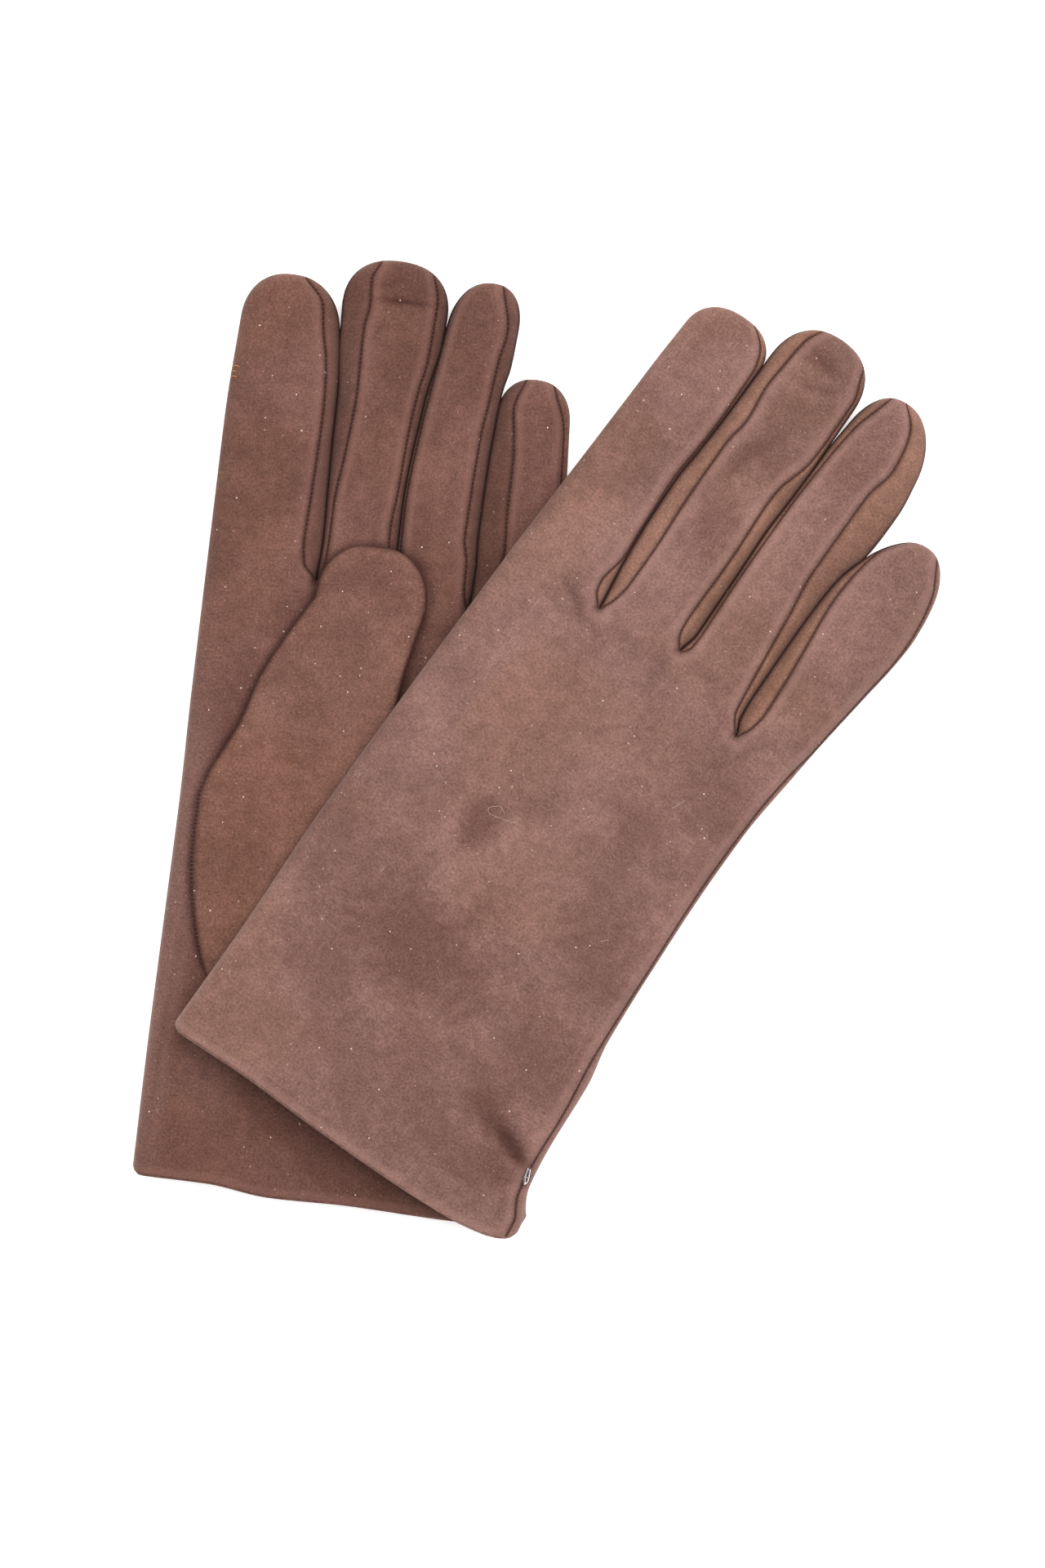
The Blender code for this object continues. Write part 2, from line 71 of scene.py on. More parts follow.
# How the right glove lies over the left one; the same slopes as the CAD part.
REST_ON_HAND = 10.3
REST_ON_THUMB = 13.8
THUMB_SLOPE_FROM_U = 45.0
THUMB_SLOPE_WIDTH = 40.0
KNUCKLE_SLOPE_FROM_V = 148.0
KNUCKLE_SLOPE_WIDTH = 32.0
EDGE_DIRECTION = (0.856, 0.517)
EDGE_START = 5.0
EDGE_WIDTH = 35.0
TACK_U = 46.8
TACK_V = 16.5

# Grid of the skin. A finger has a strip or fold of SIDE_COLUMNS on each side of its panel.
HAND_ROWS = 126
ROW_STEP = 1.15
TIP_ROWS = 18
SIDE_COLUMNS = 9
PANEL_COLUMNS = 18
RIGHT_SEAM = SIDE_COLUMNS + PANEL_COLUMNS
COLUMNS = RIGHT_SEAM + SIDE_COLUMNS + 1
EVEN = np.linspace(0.0, 1.0, COLUMNS)
TIP_POWER = 2.3
WELD = 2e-6

# A row of the grid: places, heights over and under the middle, and distances to seams and edges.
ROW_PARTS = ("u", "v", "top", "bottom", "seam_a", "seam_b", "border")
FAR = 99.0
NO_SEAM = np.full(COLUMNS, FAR)

# Where the seams may lie across a finger, from 0 to 1, and how the columns gather towards them.
SEAM_WITHIN = (0.02, 0.98)
LEFT_SEAM_WITHIN = (0.02, 0.6)
RIGHT_SEAM_WITHIN = (0.4, 0.98)
FOLD_SHARE = 0.13
CROWDING_LENGTH = 34.0

# Where the skin would bend; it is split into pieces there, but not bent.
BLEND_HALF = 9.0
SHORT_BLEND_HALF = 7.0
SHORT_END_FROM_V = 195.0
THUMB_HINGE_U = -44.0

# Section of the hand and fingers: half heights over and under the middle of the thickness.
HAND_TOP = 4.2
HAND_UNDER = 3.8
CUFF_EXTRA = 0.6
CUFF_EXTRA_UNDER = 0.3
CUFF_EXTRA_LENGTH = 60.0
CUFF_CURVE_LENGTH = 25.0
LAST_CUFF_ROW = HAND_ROWS - 20
FINGER_TOP = 5.2
FINGER_UNDER = 3.8
FOLD_RADIUS = 4.2
UNDER_RADIUS = 3.0
UNDER_GROWS_OVER = 20.0
EDGE_MEETS_WITHIN = 3.0
FINGER_FOLD_RADIUS = 6.0
FOLD_GROWS_OVER = 25.0
TIP_ROUND = 7.0
TIP_BORDER_FADE = 3.0
STRIP_ROUND_EXTRA = 1.3
PILLOW_EDGE = 0.84
KNUCKLE_LENGTH = 28.0
CROTCH_DENT = 1.5
CROTCH_DENT_WIDTH = 2.6
CROTCH_DENT_LENGTH = 3.5
CROTCH_RIM_RADIUS = 2.9
CROTCH_RIM_WIDTH = 1.0
CROTCH_RIM_HEIGHT = 0.35
CROTCH_RIM_REACH = 0.5
CROTCH_RIM_FADE = 1.5

# Seams, and how the leather's shape shows on its underside.
SEAM_DEPTH = 0.7
SEAM_WIDTH = 0.42
SEAM_RIDGE = 0.36
SEAM_RIDGE_AT = 1.5
SEAM_RIDGE_WIDTH = 0.8
UNDER_SEAMS = 0.6
UNDER_LUMPS = 0.15

# Painted shade in the seams, in the gaps between fingers and in the wrinkles, and painted highlights on the
# ridges beside the seams, round the crotches and along the cuff's fold.
SEAM_SHADE_WIDTH = 0.27
BORDER_SHADE_WIDTH = 0.6
WRINKLE_SHADE = 0.85
SHALLOW_FOLD = 0.08
HIGHLIGHT_AT = 1.7
HIGHLIGHT_WIDTH = 0.9
STRIP_HIGHLIGHT = 0.35
CUFF_FOLD_HIGHLIGHT = 0.8

# The nap laid out flat: millimetres to one unit, and where the underside and the thumbs start.
NAP_UNIT = 100.0
UNDER_NAP = 3.0
THUMB_NAP = 6.0
CUFF_NAP_STEP = 0.011

# Slow waves of the leather: (height, size, seed).
HAND_LUMPS = ((0.6, 26.0, 3.0), (0.28, 9.0, 8.0), (0.09, 3.2, 21.0))
THUMB_LUMPS = ((0.35, 17.0, 61.0), (0.12, 6.0, 66.0))
RIGHT_GLOVE_SEED = 40.0
WRINKLE_BOW = 0.04


def smooth(t):
    t = np.clip(t, 0.0, 1.0)
    return t * t * (3.0 - 2.0 * t)


def gentle_slopes(xs, ys):
    """Slopes through the points that never overshoot them."""
    steep = np.diff(ys) / np.diff(xs)
    before, after = steep[:-1], steep[1:]
    agree = before * after > 0
    total = np.where(agree, before + after, 1.0)
    inner = np.where(agree, 2.0 * before * after / total, 0.0)
    return np.concatenate([steep[:1], inner, steep[-1:]])


def spline(points, x):
    """A smooth line through (x, y) points, straight on past its ends."""
    xs, ys = np.array(points, float).T
    x = np.asarray(x, float)
    slopes = gentle_slopes(xs, ys)
    inside = np.clip(x, xs[0], xs[-1])
    i = np.clip(np.searchsorted(xs, inside) - 1, 0, len(xs) - 2)
    step = xs[i + 1] - xs[i]
    t = (inside - xs[i]) / step
    value = (
        (2 * t**3 - 3 * t**2 + 1) * ys[i]
        + (t**3 - 2 * t**2 + t) * step * slopes[i]
        + (-2 * t**3 + 3 * t**2) * ys[i + 1]
        + (t**3 - t**2) * step * slopes[i + 1]
    )
    past = np.where(x > xs[-1], (x - xs[-1]) * slopes[-1], 0.0)
    return value + past


def on_table(u, v):
    return np.zeros_like(u)


def over_left_glove(u, v):
    """Height of the right glove's underside over the table."""
    towards_thumbs = smooth((THUMB_SLOPE_FROM_U - u) / THUMB_SLOPE_WIDTH)
    below_knuckles = 1.0 - smooth((v - KNUCKLE_SLOPE_FROM_V) / KNUCKLE_SLOPE_WIDTH)
    rest = REST_ON_HAND + (REST_ON_THUMB - REST_ON_HAND) * towards_thumbs * below_knuckles
    past = (u - TACK_U) * EDGE_DIRECTION[0] + (v - TACK_V) * EDGE_DIRECTION[1] - EDGE_START
    return rest * (1.0 - smooth(past / EDGE_WIDTH))


@dataclass
class Finger:
    """Outline and seams of one finger above its crotches, as (v, u) points."""

    left: tuple
    right: tuple
    seam_left: tuple
    seam_right: tuple
    tip: float
    rounding: float
    joint: float


@dataclass
class Glove:
    """Measures of one glove; rest gives the height of what it lies on."""

    name: str
    centre: tuple
    turn: float
    rest: object
    lines: tuple
    crotches: tuple
    fingers: tuple
    side_seam: tuple
    cuff_edge: tuple
    strip_fall: float

    @property
    def palm_side(self):
        return "w_top" if self.name == "left" else "w_bottom"

    def crotches_beside(self, number):
        """How far along the glove the crotches on either side of a finger are."""
        return self.crotches[max(number - 1, 0)], self.crotches[min(number, 2)]

    def place(self, u, v, w):
        """Points of the glove's frame in world metres, w over the surface it lies on."""
        u, v, w = np.broadcast_arrays(*(np.asarray(a, float) for a in (u, v, w)))
        turn = math.radians(self.turn)
        c, s = math.cos(turn), math.sin(turn)
        x = self.centre[0] + u * c + v * s
        y = self.centre[1] - u * s + v * c
        z = w + self.rest(u, v)
        return np.stack([x, y, z], -1) * MM


RIGHT = Glove(
    "right",
    (-50.65, -99.65),
    34.5,
    over_left_glove,
    lines=(
        ((0, -52.3), (30, -51.9), (60, -52.3), (97, -51.6), (151, -49.8)),
        ((0, -26), (75, -24), (151, -22)),
        ((0, 0), (75, 1), (154, 1.9)),
        ((0, 25), (75, 24), (144, 26.8)),
        ((0, 53.2), (6, 52.4), (15, 49), (27, 47.5), (45, 46.7), (58, 44.6), (80, 43.7), (105, 43.2),
         (122, 43.5), (144, 45.7)),
    ),
    crotches=(150.6, 153.9, 143.6),
    fingers=(
        Finger(((151, -49.8), (173, -48.7), (203, -47.3), (213, -46.9), (223, -46.3)),
               ((151, -21.9), (165, -23.6), (177, -24.4), (190, -24.6), (200, -23.8), (212, -23.1),
                (228, -22.6)),
               None,
               ((151, -22.3), (152, -23.9), (154, -25.1), (157, -25.6), (161, -24.9), (165, -24.3),
                (190, -25.3), (200, -24.5), (212, -23.8), (225, -23.8), (229, -24.7), (232, -26.4),
                (236, -31)),
               236.0, 10.0, 185.0),
        Finger(((151, -22), (165, -23.8), (177, -24.6), (190, -24.8), (200, -24.0), (212, -23.3),
                (228, -22.8)),
               ((154, 2.0), (160, 3.3), (178, 3.2), (192, 3.0), (200, 3.4), (213, 3.9), (228, 3.9)),
               ((151, -21.7), (152.5, -20.6), (155, -19.7), (159, -19.0), (171, -18.8), (189, -19.3),
                (205, -19.2), (214, -18.0), (224, -18.8), (231, -18.2), (239, -17.3), (246, -14)),
               ((154, 1.6), (155.5, 0.3), (158, -0.7), (162, -1.1), (182, -0.7), (198, -1.1), (204, -0.6),
                (208, 0.6), (214, 2.2), (222, 2.6), (233, 2.6), (240, 0.5)),
               245.7, 14.0, 188.0),
        Finger(((154, 1.8), (160, 3.1), (178, 3.0), (192, 2.8), (200, 3.2), (213, 3.7), (221, 3.9),
                (229, 4.5), (240, 4.2)),
               ((144, 26.9), (148, 25.2), (155, 24.8), (172, 24.8), (181, 25.0), (188, 25.4), (193, 26.0),
                (197, 27.0), (201, 28.4), (210, 29.2), (216, 29.3), (226, 28.2), (240, 25.6)),
               ((154, 2.4), (156, 3.8), (160, 4.2), (178, 3.9), (200, 4.2), (213, 4.9), (228, 6.6),
                (236, 9)),
               ((144, 26.3), (145.5, 24.4), (148, 23.2), (152, 22.7), (163, 21.6), (178, 20.3), (190, 19.1),
                (202, 19.3), (215, 19.6), (224, 21.4), (230, 20.8), (236, 19.0), (242, 13.5)),
               241.6, 16.0, 183.0),
        Finger(((144, 26.7), (148, 25.0), (155, 24.5), (172, 24.5), (181, 24.7), (188, 25.1), (193, 25.7),
                (197, 26.8), (202, 28.5)),
               ((144, 45.7), (152, 46.6), (171, 49.3), (183, 51.0), (190, 51.5), (196, 51.2), (201, 50.5)),
               ((144, 27.3), (146, 28.6), (149, 29.5), (152, 29.9), (165, 29.4), (174, 28.7), (187, 27.8),
                (195, 28.3), (203, 29.8), (211, 33.2)),
               ((144, 44.6), (151, 46.0), (171, 48.8), (181, 50.3), (189, 50.7), (196, 50.2), (203, 48.8),
                (209, 45.8)),
               213.2, 13.0, 172.0),
    ),
    side_seam=((0, 51.2), (5, 50.6), (12, 47.6), (21, 46.2), (35, 45.5), (54, 43.6), (79, 42.9),
               (107, 42.2), (130, 43.0), (144, 44.6)),
    cuff_edge=((-52.4, -1.4), (-51.4, -2.4), (-49, -2.9), (-30, -2.6), (-9, -3.3), (17.6, -3.6), (35, -3.1),
               (45, -1.7), (50, 0.0), (52, 1.4), (53.2, 3.2)),
    strip_fall=0.45,
)
LEFT = Glove(
    "left",
    (-54.95, -118.75),
    7.5,
    on_table,
    lines=(
        ((0, -52.6), (45, -53), (95, -53), (127, -53.6), (162, -54)),
        ((0, -27), (80, -26), (162, -24.6)),
        ((0, -1), (80, -2), (163, -3.6)),
        ((0, 24), (80, 21), (158.5, 16.4)),
        ((0, 52.4), (20, 49), (50, 46), (80, 44), (120, 42.5), (158.5, 40.8)),
    ),
    crotches=(161.7, 163.0, 158.5),
    fingers=(
        Finger(((162, -54), (181, -54.2), (203, -54.4), (228, -53.6)),
               ((162, -24.4), (172, -24.0), (185, -24.5), (198, -25.1), (211, -25.4), (222, -26.2),
                (230, -27.4)),
               None,
               ((162, -25), (165, -28.2), (171, -29.1), (186, -28.7), (205, -28.5), (213, -28.9),
                (220, -29.7), (227, -31.3), (234, -32.4), (240, -37.5)),
               241.0, 13.0, 190.0),
        Finger(((162, -24.7), (172, -24.3), (185, -24.8), (198, -25.3), (211, -25.6), (222, -26.8),
                (232, -27.3)),
               ((163, -3.7), (173, -4.3), (186, -4.4), (195, -3.9), (206, -2.8), (214, -1.9), (220, -0.8),
                (227, 0.5), (236, 0.8)),
               ((162, -24), (165, -22.9), (173, -22.6), (181, -22.6), (196, -21.3), (212, -20.3),
                (229, -20.7), (235, -19.9), (242, -20.3), (246, -18.8)),
               ((163, -4.2), (169, -6.2), (177, -6.9), (188, -6.1), (202, -5.5), (215, -4.2),
                (222, -2.9), (238, -2.3), (246, -4.5)),
               248.1, 14.0, 190.0),
        Finger(((163, -4.0), (173, -4.6), (186, -4.7), (195, -4.2), (206, -3.1), (214, -2.2), (221, -0.9),
                (228, 0.1)),
               ((158.5, 16.6), (168, 16.9), (179, 16.4), (198, 16.6), (208, 17.1), (217, 17.8), (224, 19.2),
                (234, 19.9)),
               ((163, -3.2), (184, -3.8), (206, -2.2), (214, -1.2), (236, 1.6)),
               ((158.5, 15.9), (163, 14.6), (171, 14.2), (177, 12.9), (190, 13.1), (205, 13.6),
                (212, 14.4), (225, 15.7), (233, 17), (244, 14.5)),
               245.5, 12.5, 190.0),
        Finger(((158.5, 16.3), (168, 16.6), (179, 16.1), (198, 16.3), (208, 16.8), (214, 17.0)),
               ((158.5, 40.8), (180, 39.2), (196, 37.7), (210, 36.6)),
               ((158.5, 17.2), (165, 21), (174, 23.9), (185, 23.2), (200, 22.9), (207, 22.1),
                (213, 21.3), (221, 23.6)),
               ((158.5, 39.3), (180, 37.7), (196, 36.2), (210, 35.0), (218, 32)),
               221.7, 10.5, 197.5),
    ),
    side_seam=((0, 50.9), (20, 47.5), (50, 44.5), (80, 42.5), (120, 41.0), (158.5, 39.3)),
    cuff_edge=((-52.6, 2.0), (-51.8, 0.9), (-50, 0.3), (-33, 0.4), (-15.5, -1.2), (6, -0.6), (32, -1.0),
               (48, -0.4), (51, 0.4), (52.5, 2.2)),
    strip_fall=1.0,
)


# Skin of a glove.


def edge_round(distance, radius):
    """Height share near an edge: a quarter circle of this radius, then full height."""
    near = np.clip(distance / radius, 0.0, 1.0)
    return np.sqrt(1.0 - (1.0 - near) ** 2)


def bell(distance, width):
    """1 on a line, falling away on both sides of it over about this width."""
    return np.exp(-((distance / width) ** 2))


def unit(vectors):
    return vectors / np.maximum(np.linalg.norm(vectors, axis=1, keepdims=True), 1e-12)


def section(s, left_power, right_power):
    """Height share of a rounded section at s, from -1 to 1 across it."""
    power = np.where(s < 0, left_power, right_power)
    return np.clip(1.0 - np.abs(s) ** power, 0.0, 1.0) ** (1.0 / power)


def pillow(places):
    """How a stuffed sheet swells between its two edges."""
    return PILLOW_EDGE + (1.0 - PILLOW_EDGE) * (1.0 - (2.0 * places - 1.0) ** 2)


def seam_shape(distance):
    """A narrow groove with a soft ridge on either side."""
    ridge = SEAM_RIDGE * bell(np.abs(distance) - SEAM_RIDGE_AT, SEAM_RIDGE_WIDTH)
    return ridge - SEAM_DEPTH * bell(distance, SEAM_WIDTH)


def cosine_steps(count):
    return 0.5 - 0.5 * np.cos(np.linspace(0.0, math.pi, count + 1))


def column_places(seam_a, seam_b):
    """Where the columns lie across a finger, from 0 to 1, crowded round its two seams."""
    side = cosine_steps(SIDE_COLUMNS)
    panel = cosine_steps(PANEL_COLUMNS)
    return np.concatenate(
        [side[:-1] * seam_a, seam_a + panel * (seam_b - seam_a), seam_b + side[1:] * (1.0 - seam_b)]
    )


def soft_lumps(glove, u, v, waves):
    """Slow random waves of the leather, from a table of heights, sizes and seeds."""
    offset = 0.0 if glove.name == "left" else RIGHT_GLOVE_SEED
    total = np.zeros_like(u)
    for height, size, seed in waves:
        points = zip(u.ravel() / size, v.ravel() / size)
        values = [noise.noise(Vector((a, b, seed + offset))) for a, b in points]
        total = total + height * np.array(values).reshape(u.shape)
    return total


# Wrinkles: (u, v, direction in degrees from +u, length, width, depth).
WRINKLES = {
    "left": (
        (-11.5, 237.2, 3, 19, 0.7, 1.0),
        (-5, 239.6, -16, 7, 0.7, 0.5),
        (-16, 241.0, 24, 8, 1.1, 0.4),
        (-17, 228.0, 60, 8, 1.0, 0.35),
        (-30, 166, 60, 14, 2.2, 0.35),
        (-8, 168, -50, 12, 2.4, 0.3),
        (16, 156, 70, 12, 2.0, 0.3),
        (-49, 40, 88, 90, 1.6, 0.35),
    ),
    "right": (
        (-9, 237, -25, 10, 1.6, 0.6),
        (-7, 231, 20, 11, 1.7, 0.6),
        (-14, 222, 15, 12, 2.5, 0.35),
        (-13, 205, 70, 30, 2.8, 0.5),
        (-28, 149, -25, 11, 1.1, 0.8),
        (-25, 145.5, -32, 12, 1.1, 0.75),
        (-20, 145, -45, 10, 1.2, 0.5),
        (0, 146, -75, 14, 2.2, 0.35),
        (5, 148, -30, 9, 1.4, 0.3),
        (27, 136, -85, 12, 2.2, 0.35),
        (40.5, 20.5, -25, 12, 2.2, 1.4),
        (42.5, 13.0, 20, 8, 1.8, 0.7),
        (30, 24, -18, 18, 5.0, 0.7),
    ),
}


def wrinkles(glove, u, v):
    """Depth of the glove's wrinkles at each point, each with a low ridge on either side."""
    depth = np.zeros_like(u)
    for cu, cv, angle, length, width, deep in WRINKLES[glove.name]:
        c, s = math.cos(math.radians(angle)), math.sin(math.radians(angle))
        along = (u - cu) * c + (v - cv) * s
        across = -(u - cu) * s + (v - cv) * c + WRINKLE_BOW * along**2 / length
        ridge = 0.5 * bell(np.abs(across) - 2 * width, width)
        depth += bell(along, 0.5 * length) * deep * (ridge - bell(across, width))
    return depth


def hand_row(glove, number, row, share_a, share_b):
    """One row of a finger's share of the hand, in the order of ROW_PARTS."""
    crotch_a, crotch_b = glove.crotches_beside(number)
    t = row / HAND_ROWS
    va, vb = t * crotch_a, t * crotch_b
    left, right = float(spline(glove.lines[number], va)), float(spline(glove.lines[number + 1], vb))
    below = (1.0 - t) * crotch_a
    crowding = float(smooth(1.0 - below / CROWDING_LENGTH))
    if number == 3:
        crowding = 1.0
        share_b = (float(spline(glove.side_seam, vb)) - left) / (right - left)
    places = EVEN + (column_places(share_a, share_b) - EVEN) * crowding
    v = va + (vb - va) * places
    u = left + (right - left) * places
    outer = edge_round(u - spline(glove.lines[0], v), FOLD_RADIUS)
    outer = outer * edge_round(spline(glove.lines[4], v) - u, FOLD_RADIUS)
    share = float(smooth(1.0 - below / KNUCKLE_LENGTH))
    cuff = CUFF_EXTRA * (1.0 - smooth(v / CUFF_EXTRA_LENGTH))
    top = ((HAND_TOP + cuff) * (1.0 - share) + FINGER_TOP * pillow(places) * share) * outer
    bottom = (HAND_UNDER + CUFF_EXTRA_UNDER * cuff) * outer
    seam = u - spline(glove.side_seam, v) if number == 3 else NO_SEAM
    v = v + spline(glove.cuff_edge, u) * (1.0 - smooth(v / CUFF_CURVE_LENGTH))
    return u, v, top, bottom, NO_SEAM, seam, NO_SEAM


def finger_edge(outline, line, crotch, v):
    """The edge of a finger at v; at the crotch it meets the hand's line exactly."""
    missed = float(spline(line, crotch) - spline(outline, crotch))
    return float(spline(outline, v)) + missed * math.exp(-(v - crotch) / EDGE_MEETS_WITHIN)


def finger_row(glove, number, crotches, ends, factor):
    """One row across a finger, from ends[0] to ends[1] along it, above the crotches on either side."""
    finger = glove.fingers[number]
    left = finger_edge(finger.left, glove.lines[number], crotches[0], ends[0])
    right = finger_edge(finger.right, glove.lines[number + 1], crotches[1], ends[1])
    centre, half = (left + right) / 2.0, (right - left) / 2.0 * factor
    left, width = centre - half, max(2.0 * half, 1e-6)
    share_a = FOLD_SHARE
    if finger.seam_left:
        share_a = float(np.clip((spline(finger.seam_left, ends[0]) - left) / width, *LEFT_SEAM_WITHIN))
    share_b = float(np.clip((spline(finger.seam_right, ends[1]) - left) / width, *RIGHT_SEAM_WITHIN))
    places = column_places(share_a, share_b)
    v = ends[0] + (ends[1] - ends[0]) * places
    base = crotches[0] + (crotches[1] - crotches[0]) * places
    u = left + width * places
    from_left, from_right = width * places, width * (1.0 - places)
    free = float(smooth((ends[0] - crotches[0]) / FOLD_GROWS_OVER))
    fold = FOLD_RADIUS + (FINGER_FOLD_RADIUS - FOLD_RADIUS) * free
    strip_a, strip_b = width * share_a, width * (1.0 - share_b)
    radius_left = strip_a * glove.strip_fall + STRIP_ROUND_EXTRA if finger.seam_left else fold
    radius_right = strip_b * glove.strip_fall + STRIP_ROUND_EXTRA if number < 3 else fold
    tip = edge_round(np.maximum(finger.tip - v, 0.0), TIP_ROUND)
    top = FINGER_TOP * pillow(places) * tip
    top = top * edge_round(from_left, radius_left) * edge_round(from_right, radius_right)
    under = 1.0 + (UNDER_RADIUS - 1.0) * smooth((v - base) / UNDER_GROWS_OVER)
    left_under = FOLD_RADIUS if number == 0 else under
    right_under = FOLD_RADIUS if number == 3 else under
    bottom = FINGER_UNDER * tip * edge_round(from_left, left_under) * edge_round(from_right, right_under)
    seam_a = u - u[SIDE_COLUMNS] if finger.seam_left else NO_SEAM
    seam_b = u - u[RIGHT_SEAM]
    border = np.minimum(from_left if number > 0 else NO_SEAM, from_right if number < 3 else NO_SEAM)
    return u, v, top, bottom, seam_a, seam_b, border + TIP_BORDER_FADE * (1.0 - tip)


def finger_levels(finger, crotches):
    """Rows of a finger as (ends along it, share of its width), and the row where its tip piece starts."""
    split = finger.joint - blend_half(finger)
    straight = finger.tip - finger.rounding
    root_rows = max(int((split - crotches[0]) / ROW_STEP), 4)
    shaft_rows = max(int((straight - split) / ROW_STEP), 2)
    levels = [([c + (split - c) * (i / root_rows) for c in crotches], 1.0) for i in range(root_rows)]
    levels += [([split + (straight - split) * (i / shaft_rows)] * 2, 1.0) for i in range(shaft_rows)]
    for i in range(TIP_ROWS + 1):
        rise, factor = round_end(i / TIP_ROWS)
        levels.append(([straight + finger.rounding * rise] * 2, factor))
    return levels, HAND_ROWS + root_rows


def round_end(t):
    """A round tip at t from 0 to 1: its share of the tip's length and of the finger's width."""
    angle = t * math.pi / 2.0
    return math.sin(angle) ** (2.0 / TIP_POWER), max(math.cos(angle), 0.0) ** (2.0 / TIP_POWER)


def finger_block(glove, number):
    """All rows of one finger with its share of the hand."""
    finger = glove.fingers[number]
    crotches = glove.crotches_beside(number)
    share_a = seam_share(finger, finger.seam_left, crotches, crotches[0]) if finger.seam_left else FOLD_SHARE
    share_b = seam_share(finger, finger.seam_right, crotches, crotches[1])
    levels, split_row = finger_levels(finger, crotches)
    rows = [hand_row(glove, number, row, share_a, share_b) for row in range(HAND_ROWS)]
    rows += [finger_row(glove, number, crotches, ends, factor) for ends, factor in levels]
    block = {name: np.array([row[i] for row in rows]) for i, name in enumerate(ROW_PARTS)}
    block["split_row"] = split_row
    return shape_block(glove, block)


def blend_half(finger):
    """Half the length over which a finger's skin would bend, which sets where its tip piece starts; a short
    finger end has less of it.
    """
    return SHORT_BLEND_HALF if finger.joint > SHORT_END_FROM_V else BLEND_HALF


def seam_share(finger, seam, crotches, v):
    """Where a seam starts across the finger at a crotch, from 0 to 1."""
    left = float(spline(finger.left, crotches[0]))
    right = float(spline(finger.right, crotches[1]))
    return float(np.clip((float(spline(seam, v)) - left) / (right - left), *SEAM_WITHIN))


def crotch_shapes(glove, u, v):
    """The little pits where the leather is pulled in at the crotches, and the rims round them."""
    dents, rims = np.zeros_like(u), np.zeros_like(u)
    for finger, crotch in zip(glove.fingers, glove.crotches):
        cu = float(spline(finger.right, crotch))
        dents += np.exp(-(((u - cu) / CROTCH_DENT_WIDTH) ** 2) - np.abs(v - crotch) / CROTCH_DENT_LENGTH)
        rim = bell(np.hypot(u - cu, v - crotch) - CROTCH_RIM_RADIUS, CROTCH_RIM_WIDTH)
        rims += rim * smooth((crotch + CROTCH_RIM_REACH - v) / CROTCH_RIM_FADE)
    return CROTCH_DENT * dents, rims


def shape_block(glove, block):
    """Turn the smooth section into leather: seams, slow lumps and wrinkles."""
    u, v = block["u"], block["v"]
    full = np.clip(block["top"] / HAND_TOP, 0.0, 1.0)
    under_full = np.clip(block["bottom"] / HAND_UNDER, 0.0, 1.0)
    lumps = soft_lumps(glove, u, v, HAND_LUMPS)
    groove = seam_shape(block["seam_a"]) + seam_shape(block["seam_b"])
    folds = wrinkles(glove, u, v)
    dents, rims = crotch_shapes(glove, u, v)
    detail = lumps + folds - dents + CROTCH_RIM_HEIGHT * rims
    under = block["bottom"] + UNDER_SEAMS * groove * under_full + UNDER_LUMPS * lumps * under_full
    block["w_top"] = HAND_UNDER + np.maximum(block["top"] + groove * np.sqrt(full) + detail * full, 0.0)
    block["w_bottom"] = HAND_UNDER - np.maximum(under, 0.0)
    # Painted shade: darker nap in the seams, in the gaps between fingers and in the wrinkles.
    near = np.minimum(np.abs(block["seam_a"]), np.abs(block["seam_b"]))
    crease = np.maximum(bell(near, SEAM_SHADE_WIDTH), bell(block["border"], BORDER_SHADE_WIDTH))
    block["crease"] = np.maximum(crease, WRINKLE_SHADE * np.clip(-folds - SHALLOW_FOLD, 0.0, 1.0))
    # Painted highlights: paler nap on the ridges beside the seams, on the rims round the crotches and along
    # the cuff's fold.
    panel_side = (block["seam_a"] > 0.0) & (block["seam_b"] < 0.0) | (block["seam_a"] == FAR)
    ridge_highlight = bell(near - HIGHLIGHT_AT, HIGHLIGHT_WIDTH) * np.where(panel_side, 1.0, STRIP_HIGHLIGHT)
    block["ridge"] = np.maximum(ridge_highlight, rims)
    block["ridge"][:2] = CUFF_FOLD_HIGHLIGHT
    return block


def strip_name(glove, number, neighbour):
    """A finger's fourchette strip towards its neighbour, or None where the leather wraps round."""
    if not 0 <= neighbour <= 3:
        return None
    return f"{glove.name}_fourchette_{FINGER_NAMES[number]}_to_{FINGER_NAMES[neighbour]}"


def piece_namer(glove, number, split_row):
    """A function from a face's row and column to the name of its piece."""
    left = strip_name(glove, number, number - 1)
    right = strip_name(glove, number, number + 1)

    def piece_of(row, column):
        if row < HAND_ROWS:
            return f"{glove.name}_hand_skin"
        end = "tip" if row >= split_row else "base"
        if column < SIDE_COLUMNS and left:
            return f"{left}_{end}_skin"
        if column >= RIGHT_SEAM and right:
            return f"{right}_{end}_skin"
        if row >= split_row:
            return f"{glove.name}_{FINGER_NAMES[number]}_skin"
        return f"{glove.name}_hand_skin"

    return piece_of


def unrolled(block, number, side):
    """Places across the leather as if laid out flat, so that the nap isn't stretched down the sides."""
    run = np.diff(block["u"], axis=1)
    rise = np.diff(block[side], axis=1)
    extra = np.hypot(run, rise) - run
    middle = COLUMNS // 2
    if number > 0:
        extra[:HAND_ROWS, :middle] = 0.0
    if number < 3:
        extra[:HAND_ROWS, middle:] = 0.0
    places = block["u"].copy()
    places[:, middle + 1:] += np.cumsum(extra[:, middle:], axis=1)
    places[:, :middle] -= np.cumsum(extra[:, :middle][:, ::-1], axis=1)[:, ::-1]
    return places


def thumb_sides(shape, v):
    """Where the two sides of a thumb are at v; past the start of its tip they run straight on."""
    return [spline(shape[side], np.minimum(v, shape["straight"])) for side in ("left", "right")]


